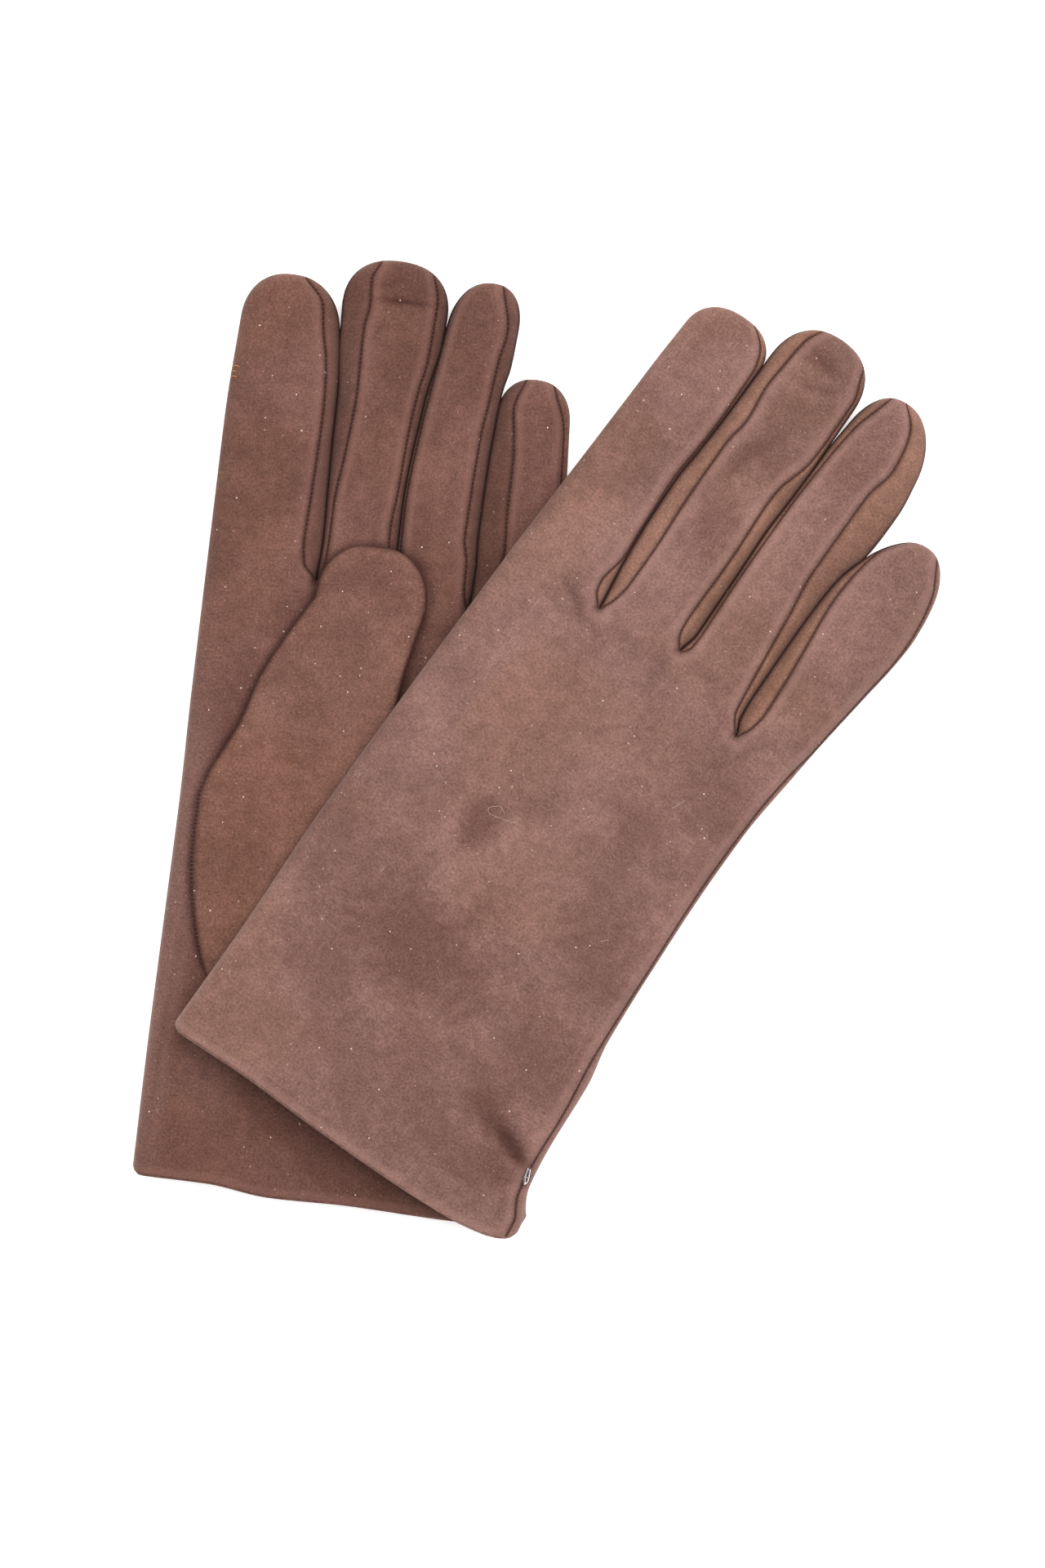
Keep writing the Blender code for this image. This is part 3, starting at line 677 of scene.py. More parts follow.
def thumb_shade(glove, u, v):
    """Painted contact shadow on the palm round the thumb that lies on it: how dark it is at each point."""
    shape = THUMBS[glove.name]
    left, right = thumb_sides(shape, v)
    half = (right - left) / 2.0
    across = np.abs(u - (left + right) / 2.0) / half
    along = np.clip((v - shape["straight"]) / (shape["tip"] - shape["straight"]), 0.0, None)
    outside = ((across**TIP_POWER + along**TIP_POWER) ** (1.0 / TIP_POWER) - 1.0) * half
    shade = bell(np.clip(outside, 0.0, None), THUMB_SHADE_WIDTH)
    return THUMB_SHADE_DARK * shade * smooth((v - THUMB_START) / THUMB_SHADE_GROWS_OVER)


def build_skin(glove):
    """The whole skin of a glove as pieces, and the finger blocks it came from."""
    blocks = [finger_block(glove, number) for number in range(4)]
    points, uvs, marks, faces, pieces = [], [], [], [], []
    for number, block in enumerate(blocks):
        u, v = block["u"], block["v"]
        piece_of = piece_namer(glove, number, block["split_row"])
        for side, offset, turn in (("w_top", 0.0, 1), ("w_bottom", UNDER_NAP, -1)):
            crease = block["crease"]
            # Painted contact shadow round the thumb, on the palm's side only.
            if side == glove.palm_side:
                crease = np.maximum(crease, thumb_shade(glove, u, v))
            for i, quad in enumerate(grid_quads(len(u), COLUMNS, sum(map(len, points)))):
                faces.append(quad[::turn])
                pieces.append(piece_of(*divmod(i, COLUMNS - 1)))
            places = np.stack([offset + unrolled(block, number, side) / NAP_UNIT, v / NAP_UNIT], -1)
            points.append(glove.place(u, v, block[side]).reshape(-1, 3))
            uvs.append(places.reshape(-1, 2))
            marks.append(np.stack([crease, block["ridge"]], -1).reshape(-1, 2))
    return split_skin(*map(np.concatenate, (points, uvs, marks)), faces, pieces), blocks


def face_normal(p):
    """Normal of a face, longer for a larger face."""
    if len(p) == 4:
        return np.cross(p[2] - p[0], p[3] - p[1])
    return np.cross(p[1] - p[0], p[2] - p[0])


def split_skin(points, uvs, marks, faces, pieces):
    """Weld the grids, then cut the skin into its pieces and keep the whole skin's normals."""
    keys = np.round(points / WELD).astype(np.int64)
    _, first, weld = np.unique(keys, axis=0, return_index=True, return_inverse=True)
    weld = weld.ravel()
    welded, marks = points[first], marks[first]
    normals = np.zeros_like(welded)
    by_piece = {}
    for quad, piece in zip(faces, pieces):
        corners = []
        for corner in quad:
            if weld[corner] not in [weld[c] for c in corners]:
                corners.append(corner)
        if len(corners) < 3:
            continue
        normal = face_normal([welded[weld[c]] for c in corners])
        for c in corners:
            normals[weld[c]] += normal
        by_piece.setdefault(piece, []).append(corners)
    normals = unit(normals)
    objects = {}
    for piece, faces in by_piece.items():
        used = sorted({int(weld[c]) for corners in faces for c in corners})
        index = {old: new for new, old in enumerate(used)}
        mesh = smooth_mesh(piece, welded[used], [[index[int(weld[c])] for c in corners] for corners in faces])
        lay_nap(mesh, [uvs[c] for corners in faces for c in corners])
        for column, name in enumerate(("crease", "ridge")):
            add_mark(mesh, name, marks[used, column])
        mesh.normals_split_custom_set_from_vertices(normals[used].tolist())
        objects[piece] = link(piece, mesh)
    return objects


def grid_quads(rows, columns, start=0, closed=False):
    """Faces of a grid of points; closed joins the last column to the first."""
    for r in range(rows - 1):
        for c in range(columns if closed else columns - 1):
            a, b = start + r * columns + c, start + r * columns + (c + 1) % columns
            yield a, b, b + columns, a + columns


def smooth_mesh(name, points, faces):
    mesh = bpy.data.meshes.new(name)
    mesh.from_pydata(np.asarray(points).tolist(), [], list(faces))
    mesh.polygons.foreach_set("use_smooth", [True] * len(mesh.polygons))
    return mesh


def lay_nap(mesh, uvs):
    """Give each corner of each face its place on the laid-out nap."""
    layer = mesh.uv_layers.new(name="nap")
    layer.data.foreach_set("uv", np.array(uvs, np.float32).ravel())


def add_mark(mesh, name, values):
    """A number at every vertex for the suede to read."""
    mark = mesh.attributes.new(name, "FLOAT", "POINT")
    mark.data.foreach_set("value", values.astype(np.float32).ravel())


def link(name, data):
    piece = bpy.data.objects.new(name, data)
    bpy.context.scene.collection.objects.link(piece)
    return piece


def grid_object(name, points, uvs, crease=None):
    """A smooth tube from a grid of points, with its last column joined to the first."""
    rows, columns = points.shape[:2]
    faces = list(grid_quads(rows, columns, closed=True))
    mesh = smooth_mesh(name, points.reshape(-1, 3), faces)
    flat = uvs.reshape(-1, 2)
    lay_nap(mesh, [flat[v] for face in faces for v in face])
    if crease is not None:
        add_mark(mesh, "crease", crease)
    return link(name, mesh)


# Cuffs.


def cuff_loop(blocks, row):
    """Closed loop round the hand at a row, as u, v and w, and the inward direction in u and w."""
    over = [np.stack([block[key][row] for key in ("u", "v", "w_top")], -1) for block in blocks]
    under = [np.stack([block[key][row] for key in ("u", "v", "w_bottom")], -1) for block in blocks]
    loop = np.concatenate([part[:-1:2] for part in over] + [part[::-1][:-1:2] for part in under[::-1]])
    ahead = np.roll(loop, -2, 0) - np.roll(loop, 2, 0)
    return loop, unit(np.stack([ahead[:, 2], np.zeros(len(loop)), -ahead[:, 0]], -1))


def inner_tube(glove, blocks, name, profile):
    """A tube inside the cuff; profile lists (v, inset) from the cuff's mouth inwards."""
    grid, uvs = [], []
    for v, inset in profile:
        row = min(max(int(round(v / glove.crotches[0] * HAND_ROWS)), 0), LAST_CUFF_ROW)
        loop, inward = cuff_loop(blocks, row)
        u, _, w = (loop + inward * inset).T
        bent = v + spline(glove.cuff_edge, u) * (1.0 - float(smooth(v / CUFF_CURVE_LENGTH)))
        grid.append(glove.place(u, bent, w))
        uvs.append(np.stack([np.arange(len(u)) * CUFF_NAP_STEP, np.full(len(u), v / NAP_UNIT)], -1))
    return grid_object(name, np.array(grid), np.array(uvs))


HEM = ((0.0, 0.0), (-0.45, 0.12), (-0.75, 0.5), (-0.65, 1.0), (-0.2, 1.35), (1.2, 1.5), (4.0, 1.55),
       (8.0, 1.5), (11.0, 1.45), (11.6, 1.2))
LINING = ((10.4, 1.5), (9.8, 1.75), (10.2, 2.05), (12.0, 2.1), (18.0, 2.05), (30.0, 2.0), (50.0, 1.9),
          (75.0, 1.8), (100.0, 1.8), (115.0, 1.8))


def build_cuff(glove, blocks):
    """The turned-in hem and the lining seen in the cuff's mouth."""
    parts = (("hem", HEM), ("lining", LINING))
    return [inner_tube(glove, blocks, f"{glove.name}_cuff_{part}", profile) for part, profile in parts]


# Thumbs.


THUMBS = {
    "left": {
        "left": ((50, -38.2), (53, -39.3), (58, -41.5), (67, -44.2), (77, -46.3), (87, -47.5), (100, -47.6),
                 (106, -46.4), (115, -42.5), (123, -39.1), (133, -36.4), (144, -31.4), (151, -27.6),
                 (157, -24.2)),
        "right": ((50, -36), (53, -34.5), (67, -27), (80, -20), (95, -12.5), (112, -4), (125, 0.5),
                  (138, 1.7), (146, 3.1), (153, 4.6), (157, 5.4)),
        "straight": 157.0,
        "tip": 172.3,
        "height": 5.5,
    },
    "right": {
        "left": ((50, -36), (67, -41.4), (85, -43), (105, -42), (122, -37), (138, -29), (143, -26)),
        "right": ((50, -33), (67, -22), (85, -13), (105, -4), (122, -1), (138, -3), (143, -5)),
        "straight": 143.0,
        "tip": 155.0,
        "height": 5.2,
    },
}
THUMB_COLUMNS = 26
THUMB_ROW_STEP = 1.1
THUMB_START = 50.0
THUMB_HINGE_V = (THUMB_START + 1.0, THUMB_START + 36.0)
THUMB_SEAM_TOP = 106.0
SEWN_UNTIL = THUMB_SEAM_TOP - 6.0
SEWN_FADE = 14.0
THUMB_GROWS_FROM = THUMB_START - 2.0
THUMB_GROWS_OVER = 24.0
THUMB_TIP_ROUND = 4.0
THUMB_TOP_SHARE = 0.6
THUMB_UNDER_SHARE = 0.4
THUMB_LUMPS_FROM = 2.0
BOXY = 4.0
LESS_BOXY = 3.5
SEWN_SLOPE = 2.3
THUMB_GAP = 0.1
THUMB_TIP_LIFT = 0.9
TIP_LIFT_FROM = 140.0
TIP_LIFT_OVER = 30.0
RIGHT_THUMB_DROP = 0.4
THUMB_RIM_SHADE = 0.9
THUMB_RIM_SHADE_WIDTH = 0.85
THUMB_SHADE_DARK = 0.62
THUMB_SHADE_WIDTH = 1.5
THUMB_SHADE_GROWS_OVER = 10.0


def palm_height(v):
    """Level of the palm that a thumb lies on."""
    return HAND_UNDER + HAND_TOP + CUFF_EXTRA * (1.0 - smooth(v / CUFF_EXTRA_LENGTH)) + THUMB_GAP


def thumb_levels(shape):
    """Rows of a thumb, as (v, share of its width)."""
    straight, tip = shape["straight"], shape["tip"]
    levels = [(v, 1.0) for v in np.arange(THUMB_START, straight, THUMB_ROW_STEP)]
    for t in np.linspace(0.0, 1.0, TIP_ROWS):
        rise, factor = round_end(t)
        levels.append((straight + (tip - straight) * rise, factor))
    return levels


def build_thumb(glove):
    """The thumb: a flattened bag lying on the palm, sewn to it along its outer seam."""
    shape = THUMBS[glove.name]
    tip, height = shape["tip"], shape["height"]
    s = 2.0 * cosine_steps(THUMB_COLUMNS) - 1.0
    grid, uvs, crease = [], [], []
    levels = thumb_levels(shape)
    for v, factor in levels:
        left, right = thumb_sides(shape, v)
        centre = (left + right) / 2.0
        half = (right - left) / 2.0 * factor
        u = centre + s * half
        sewn = 1.0 - smooth((v - SEWN_UNTIL) / SEWN_FADE)
        grow = smooth((v - THUMB_GROWS_FROM) / THUMB_GROWS_OVER)
        tip_round = edge_round(tip - v, THUMB_TIP_ROUND)
        top = section(s, BOXY - SEWN_SLOPE * sewn, BOXY) * height * THUMB_TOP_SHARE * grow * tip_round
        bottom = section(s, LESS_BOXY, BOXY) * height * THUMB_UNDER_SHARE * grow * tip_round
        lumps = soft_lumps(glove, u, np.full_like(u, v), THUMB_LUMPS)
        top = top + lumps * np.clip(top / THUMB_LUMPS_FROM, 0.0, 1.0)
        middle = THUMB_UNDER_SHARE * height * grow
        loop_u = np.concatenate([u, u[::-1][1:-1]])
        loop_w = np.concatenate([middle + top, (middle - bottom)[::-1][1:-1]])
        over = -RIGHT_THUMB_DROP - loop_w
        if glove.name == "left":
            over = loop_w + palm_height(v) + THUMB_TIP_LIFT * smooth((v - TIP_LIFT_FROM) / TIP_LIFT_OVER)
        # Painted shade along the thumb's rim, where it meets the palm.
        from_edge = np.minimum(half - np.abs(loop_u - centre), tip - v)
        crease.append(THUMB_RIM_SHADE * bell(from_edge, THUMB_RIM_SHADE_WIDTH))
        loop_v = np.full_like(loop_u, v)
        grid.append(glove.place(loop_u, loop_v, over))
        uvs.append(np.stack([loop_u / NAP_UNIT + THUMB_NAP, loop_v / NAP_UNIT], -1))
    grid = np.array(grid)
    thumb = grid_object(f"{glove.name}_thumb_skin", grid, np.array(uvs), np.array(crease))
    cap_and_weld(thumb)
    return thumb, grid, levels


def cap_and_weld(piece):
    """Weld the tip, close the base and turn all faces outwards."""
    mesh = bmesh.new()
    mesh.from_mesh(piece.data)
    bmesh.ops.remove_doubles(mesh, verts=mesh.verts, dist=WELD)
    bmesh.ops.holes_fill(mesh, edges=[e for e in mesh.edges if e.is_boundary], sides=0)
    bmesh.ops.recalc_face_normals(mesh, faces=mesh.faces)
    mesh.to_mesh(piece.data)
    mesh.free()
    piece.data.polygons.foreach_set("use_smooth", [True] * len(piece.data.polygons))


# Stitches and small things.


# A stitch over a seam: places across and along it, and heights as shares of its lift.
STITCH_RADIUS = 0.1
STITCH_LIFT = 0.06
STITCH_U = np.array([-0.28, -0.1, 0.1, 0.28])
STITCH_V = np.array([-0.12, -0.04, 0.04, 0.12])
STITCH_W = np.array([0.3, 1.6, 1.6, 0.3])
FIRST_FREE_ROW = HAND_ROWS + 2
UNSEWN_TIP_ROWS = 8

# Loose thread ends: (v, length). Dust fibres: (u, v, length).
THREAD_ENDS = ((211.8, 1.7), (213.2, 1.2), (214.6, 1.9))
THREAD_RADIUS = 0.16
FIBRES = ((-8, 92, 15), (24, 118, 4), (-30, 60, 3), (30, 80, 3))
FIBRE_STEP = 0.5
FIBRE_RADIUS = 0.035

# The tack: heights of its stem and knob over the table, and its loop as (u, v) from the stem and height.
TACK_RADIUS = 0.26
TACK_STEM = (2.6, 6.0, 10.0, 14.0, 17.0, 18.4)
TACK_KNOB = (2.2, 2.6, 3.4)
TACK_LOOP = ((-0.9, 2.6, 16.6), (-1.0, 2.2, 18.2), (-0.8, 1.2, 19.1), (-0.2, -0.6, 19.4), (0.4, -1.6, 19.1),
             (0.7, -0.9, 18.8), (0.3, 0.6, 18.9), (-0.3, 1.9, 18.7), (-0.5, 2.6, 17.0))


def tubes(name, paths, radius, sides=5):
    """Many thin tubes as one object; each path is an array of world points."""
    angles = [2.0 * math.pi * k / sides for k in range(sides)]
    points, faces = [], []
    for path in paths:
        path = np.asarray(path, float)
        ahead = unit(np.gradient(path, axis=0))
        reference = (0.0, 0.0, 1.0) if abs(ahead[0][2]) < 0.9 else (1.0, 0.0, 0.0)
        side = unit(np.cross(ahead, reference))
        up = np.cross(side, ahead)
        start = len(points)
        for point, a, b in zip(path, side, up):
            points += [point + (a * math.cos(t) + b * math.sin(t)) * radius * MM for t in angles]
        faces += grid_quads(len(path), sides, start, closed=True)
        faces.append(tuple(range(start, start + sides))[::-1])
        faces.append(tuple(range(len(points) - sides, len(points))))
    return link(name, smooth_mesh(name, points, faces))


def seam_stitches(glove, block, rows, column, side="w_top"):
    """One short stitch over the seam at every row."""
    paths = []
    lift = STITCH_LIFT if side == "w_top" else -STITCH_LIFT
    for row in rows:
        u, v, w = block["u"][row], block["v"][row], block[side][row]
        at_u = u[column] + STITCH_U
        at_v = np.interp(at_u, u, v) + STITCH_V
        at_w = np.interp(at_u, u, w) + lift * STITCH_W
        paths.append(glove.place(at_u, at_v, at_w))
    return paths


def build_stitches(glove, blocks):
    """Stitches along every seam, one object for the hand and one for each finger end."""
    hand, ends = [], []
    for number, block in enumerate(blocks):
        split, last = block["split_row"], len(block["u"]) - UNSEWN_TIP_ROWS
        own = []
        for column in (RIGHT_SEAM, SIDE_COLUMNS) if glove.fingers[number].seam_left else (RIGHT_SEAM,):
            hand += seam_stitches(glove, block, range(FIRST_FREE_ROW, split), column)
            own += seam_stitches(glove, block, range(split, last), column)
            own += seam_stitches(glove, block, range(split, last), column, "w_bottom")
        if number == 3:
            hand += seam_stitches(glove, block, range(2, FIRST_FREE_ROW), RIGHT_SEAM)
        ends.append(tubes(f"{glove.name}_{FINGER_NAMES[number]}_stitches", own, STITCH_RADIUS))
    return tubes(f"{glove.name}_hand_stitches", hand, STITCH_RADIUS), ends


def build_thread_ends(block):
    """Three short loose ends of orange thread on the fold of the left index finger."""
    paths = []
    t = np.linspace(0.0, 1.0, 9)
    for v, length in THREAD_ENDS:
        row = int(np.argmin(np.abs(block["v"][:, 0] - v)))
        u, w = block["u"][row], block["w_top"][row]
        at_u = u[0] + 0.15 + t * length
        at_w = np.interp(at_u, u, w) + THREAD_RADIUS
        paths.append(LEFT.place(at_u, v + 0.25 * np.sin(3.0 * t), at_w))
    return tubes("left_index_thread_ends", paths, THREAD_RADIUS, 6)


def thumb_stitches(glove, grid, levels):
    """Stitches where the thumb is sewn to the palm."""
    paths = []
    rise = np.array([0.0, 0.0, 0.15 * MM])
    for loop, (v, _) in zip(grid, levels):
        if THUMB_START + 3.0 < v < THUMB_SEAM_TOP:
            edge, inner = loop[0], loop[3]
            out = edge + (edge - inner) * 0.6
            out[2] = edge[2] - 0.2 * MM
            paths.append(np.array([out, edge + rise, inner + rise]))
    return tubes(f"{glove.name}_thumb_stitches", paths, STITCH_RADIUS)


def build_tack():
    """The clear tack: a nylon stem through both cuffs, with a loop on top and a knob below."""
    def at(u, v, z):
        x, y, _ = RIGHT.place(TACK_U + u, TACK_V + v, 0.0)
        return x, y, z * MM

    stem = [at(0.0, 0.0, z) for z in TACK_STEM]
    knob = [at(0.0, 0.0, z) for z in TACK_KNOB]
    loop = smooth_path([at(*point) for point in TACK_LOOP])
    return tubes("tack_loop", [stem, loop, knob], TACK_RADIUS, 10)


def smooth_path(points):
    """A finer path through a few points."""
    points = np.array(points)
    t = np.arange(len(points))
    fine = np.linspace(0, len(points) - 1, 6 * len(points))
    return np.stack([spline(np.stack([t, points[:, k]], -1), fine) for k in range(3)], -1)


def build_fibres(blocks):
    """A few stray fibres of dust lying on the right glove's back."""
    rng = np.random.default_rng(7)
    us, vs, ws = (np.concatenate([b[key][:, ::3].ravel() for b in blocks]) for key in ("u", "v", "w_top"))
    paths = []
    for u, v, length in FIBRES:
        heading = rng.uniform(0.0, 2.0 * math.pi)
        path = []
        for _ in range(int(length / FIBRE_STEP)):
            heading += rng.normal(0.0, 0.35)
            u += FIBRE_STEP * math.cos(heading)
            v += FIBRE_STEP * math.sin(heading)
            nearest = np.argmin((us - u) ** 2 + (vs - v) ** 2)
            path.append(RIGHT.place(u, v, ws[nearest] + 0.12))
        paths.append(path)
    return tubes("right_hand_fibres", paths, FIBRE_RADIUS)


# Materials.


class Nodes:
    """Short hand for building a material; inputs take numbers or other nodes' outputs."""

    def __init__(self, name):
        self.material = bpy.data.materials.new(name)
        self.material.use_nodes = True
        self.tree = self.material.node_tree
        self.shader = self.tree.nodes["Principled BSDF"]

    def feed(self, node, inputs):
        for key, value in inputs.items():
            if isinstance(value, bpy.types.NodeSocket):
                self.tree.links.new(value, node.inputs[key])
            else:
                node.inputs[key].default_value = value

    def add(self, kind, inputs, **settings):
        node = self.tree.nodes.new(kind)
        for key, value in settings.items():
            setattr(node, key, value)
        self.feed(node, inputs)
        return node

    def nap(self):
        return self.add("ShaderNodeUVMap", {}, uv_map="nap").outputs["UV"]

    def place(self):
        return self.add("ShaderNodeTexCoord", {}).outputs["Object"]

    def mark(self, name):
        return self.add("ShaderNodeAttribute", {}, attribute_name=name).outputs["Fac"]

    def grey(self, value):
        return self.add("ShaderNodeCombineColor", {0: value, 1: value, 2: value}).outputs[0]

    def noise(self, vector, scale, detail=3.0, roughness=0.55, distortion=0.0):
        inputs = {"Vector": vector, "Scale": scale, "Detail": detail, "Roughness": roughness,
                  "Distortion": distortion}
        return self.add("ShaderNodeTexNoise", inputs).outputs["Fac"]

    def specks(self, vector, scale, edge, core):
        """A round speck in each cell of a grid, and the cell's own random numbers."""
        cells = self.add("ShaderNodeTexVoronoi", {"Vector": vector, "Scale": scale, "Randomness": 1.0})
        chance = self.add("ShaderNodeSeparateColor", {"Color": cells.outputs["Color"]})
        return self.ramp(cells.outputs["Distance"], edge, core), chance.outputs

    def math(self, operation, a, b=0.0, c=0.0):
        return self.add("ShaderNodeMath", {0: a, 1: b, 2: c}, operation=operation).outputs[0]

    def times(self, a, b):
        return self.math("MULTIPLY", a, b)

    def ramp(self, value, low, high, a=0.0, b=1.0):
        inputs = {"Value": value, "From Min": low, "From Max": high, "To Min": a, "To Max": b}
        node = self.add("ShaderNodeMapRange", inputs, interpolation_type="SMOOTHSTEP")
        return node.outputs["Result"]

    def mix(self, share, a, b, blend="MIX"):
        node = self.add("ShaderNodeMix", {}, data_type="RGBA", blend_type=blend)
        self.feed(node, {0: share, 6: a, 7: b})
        return node.outputs[2]

    def bump(self, height, strength, distance):
        inputs = {"Height": height, "Strength": strength, "Distance": distance}
        return self.add("ShaderNodeBump", inputs).outputs["Normal"]

    def surface(self, inputs):
        self.feed(self.shader, inputs)
        return self.material


def tint(colour, scale):
    """A colour with its parts scaled, all alike or each by its own number."""
    return (*np.minimum(np.array(colour) * scale, 1.0).tolist(), 1.0)


# Tones of the nap, as shares of its own colour, with painted shade, painted highlight and painted sheen among
# them, and the colours of what lies on it.
NAP_DARK = (0.77, 0.75, 0.74)
NAP_LIGHT = (1.17, 1.2, 1.22)
NAP_PRESSED = (0.6, 0.52, 0.51)
NAP_SHEEN = (1.35, 1.6, 1.75)
NAP_HIGHLIGHT = (1.5, 1.6, 1.65)
NAP_SHADED = (0.22, 0.14, 0.13)
NAP_TAN = (1.0, 0.97, 0.88, 1.0)
LINT = (0.86, 0.7, 0.6, 1.0)
DUST = (0.7, 0.55, 0.46, 1.0)
THUMB_U = THUMB_NAP * NAP_UNIT

# Noises of the nap, from broad clouds down to fuzz: (scale, detail, roughness, distortion).
NAP_NOISES = ((2.4, 3.0, 0.55, 0.6), (8.0, 4.0, 0.6, 0.4), (34.0, 4.0, 0.65, 0.2), (150.0, 3.0, 0.75, 0.0),
              (430.0, 2.0, 0.7, 0.0))

# Darker patches of nap: (u, v, radius u, radius v, strength), in the right glove's frame; most are nap
# brushed the dark way, and the broad ones low on the back and cuff darken it towards the lower left.
DARK_PATCHES = (
    (-12, 50, 22, 13, 0.85),
    (-32, 32, 12, 8, 0.5),
    (2, 24, 9, 13, 0.45),
    (-16, 86, 4.5, 7, 0.8),
    (26, 36, 14, 20, 0.5),
    (30, 76, 8, 14, 0.5),
    (20, 110, 8, 7, 0.55),
    (36, 126, 9, 9, 0.4),
    (-38, 62, 10, 9, 0.3),
    (36, 14, 14, 8, 0.6),
    (-22, 12, 30, 14, 0.35),
    (-9, 187, 6, 7, 0.5),
    (-9, 208, 5, 7, 0.35),
    (-11.5, 237.5, 7, 2.6, 0.5),
    (-36, 208, 9, 26, 0.22),
    (17, 205, 6, 16, 0.25),
)

# The same for the left palm and its cuff.
LEFT_PATCHES = (
    (-30, 8, 34, 16, 0.4),
    (0, 12, 30, 14, 0.3),
    (-40, 122, 9, 16, 0.35),
    (-10, 243, 9, 4, 0.3),
    (8, 180, 8, 12, 0.2),
)

# The same for the thumbs, whose nap is laid out apart from the hand's.
THUMB_PATCHES = (
    (THUMB_U - 8, 164, 11, 7, 0.45),
    (THUMB_U - 38, 88, 7, 22, 0.3),
    (THUMB_U - 22, 120, 7, 12, 0.2),
)

# Painted sheen: paler nap along the outer fold of the left palm, as where light grazes it.
SHEEN_PATCHES = (
    (-51, 60, 5, 62, 0.55),
    (-38, 30, 9, 12, 0.15),
)


def nap_patches(n, uv, middle, small, patches):
    """How strongly the patches show at each point, as one ragged mask."""
    ragged = n.math("MULTIPLY_ADD", middle, 1.7, n.math("MULTIPLY_ADD", small, 0.8, -1.25))
    split = n.add("ShaderNodeSeparateXYZ", {"Vector": uv})
    total = None
    for *centre, radius_u, radius_v, strength in patches:
        squares = []
        for axis, radius in enumerate((radius_u, radius_v)):
            away = n.math("SUBTRACT", split.outputs[axis], centre[axis] / NAP_UNIT)
            share = n.math("DIVIDE", away, radius / NAP_UNIT)
            squares.append(n.times(share, share))
        distance = n.math("SQRT", n.math("ADD", *squares))
        mask = n.ramp(n.math("ADD", distance, ragged), 1.7, 0.3, 0.0, strength)
        total = mask if total is None else n.math("MAXIMUM", total, mask)
    return total


def suede(name, colour, dark_patches=(), sheen_patches=(), lint=0.8):
    """Suede: brushed nap in two tones, painted highlights on ridges, painted shade in creases and specks of
    pale lint.
    """
    n = Nodes(name)
    uv = n.nap()
    broad, middle, small, grain, fuzz = (n.noise(uv, *settings) for settings in NAP_NOISES)
    tone = n.math("MULTIPLY_ADD", broad, 0.5, n.times(middle, 0.32))
    light = n.ramp(n.math("MULTIPLY_ADD", small, 0.18, tone), 0.36, 0.64)
    base = n.mix(light, tint(colour, NAP_DARK), tint(colour, NAP_LIGHT))
    tan = n.ramp(n.noise(uv, 1.7, 2.0, 0.5, 0.8), 0.42, 0.62, 0.0, 0.8)
    base = n.mix(tan, base, NAP_TAN, "MULTIPLY")
    # Dark nap patches, and painted sheen where sheen patches are given.
    for patches, look in ((dark_patches, NAP_PRESSED), (sheen_patches, NAP_SHEEN)):
        if patches:
            base = n.mix(nap_patches(n, uv, middle, small, patches), base, tint(colour, look))
    speckle = n.times(n.ramp(grain, 0.28, 0.72, 0.7, 1.33), n.ramp(fuzz, 0.25, 0.75, 0.82, 1.18))
    speckle = n.times(speckle, n.ramp(small, 0.3, 0.7, 0.94, 1.06))
    base = n.mix(1.0, base, n.grey(speckle), "MULTIPLY")
    crease = n.mark("crease")
    # Painted highlights on the ridges beside the seams, round the crotches and along the cuff's fold.
    base = n.mix(n.times(n.mark("ridge"), 0.4), base, tint(colour, NAP_HIGHLIGHT))
    # Painted shade in the seams, wrinkles and finger gaps and round the thumbs.
    base = n.mix(n.times(crease, 0.92), base, tint(colour, NAP_SHADED))
    near, chance = n.specks(uv, 42.0, 0.11, 0.06)
    picked = n.math("GREATER_THAN", chance[0], 0.72)
    base = n.mix(n.times(n.times(near, picked), n.times(chance[1], lint)), base, LINT)
    near, chance = n.specks(uv, 88.0, 0.16, 0.08)
    base = n.mix(n.times(near, n.ramp(chance[0], 0.7, 1.0, 0.0, 0.45 * lint)), base, DUST)
    height = n.math("MULTIPLY_ADD", grain, 0.6, n.times(small, 0.8))
    height = n.math("MULTIPLY_ADD", fuzz, 0.35, height)
    return n.surface({
        "Base Color": base,
        "Roughness": 0.92,
        "Specular IOR Level": 0.15,
        "Sheen Weight": n.math("MULTIPLY_ADD", crease, -0.2, 0.2),
        "Sheen Roughness": 0.45,
        "Sheen Tint": (0.95, 0.72, 0.62, 1.0),
        "Normal": n.bump(height, 0.4, 0.0006),
    })


def thread(name, colour):
    """Dull sewing thread."""
    n = Nodes(name)
    twist = n.ramp(n.noise(n.place(), 2500.0, 2.0), 0.35, 0.65)
    return n.surface({"Base Color": n.mix(twist, tint(colour, 0.7), tint(colour, 1.3)), "Roughness": 0.7})


def lining_cloth(name):
    """Dark brown knitted lining with fine ribs."""
    n = Nodes(name)
    uv = n.nap()
    ribs = n.add("ShaderNodeTexWave", {"Vector": uv, "Scale": 30.0, "Distortion": 1.5, "Detail": 2.0})
    fuzz = n.noise(uv, 260.0, 3.0)
    share = n.math("MULTIPLY_ADD", ribs.outputs["Fac"], 0.5, n.times(fuzz, 0.5))
    base = n.mix(share, (0.03, 0.017, 0.013, 1.0), (0.09, 0.052, 0.04, 1.0))
    return n.surface({"Base Color": base, "Roughness": 0.95, "Normal": n.bump(share, 0.6, 0.0008)})


def clear_nylon(name):
    """Clear slightly milky nylon."""
    n = Nodes(name)
    milk = n.ramp(n.noise(n.place(), 900.0, 2.0), 0.3, 0.7, 0.12, 0.3)
    return n.surface({
        "Base Color": (0.5, 0.5, 0.53, 1.0),
        "Roughness": milk,
        "Transmission Weight": 0.9,
        "IOR": 1.5,
    })


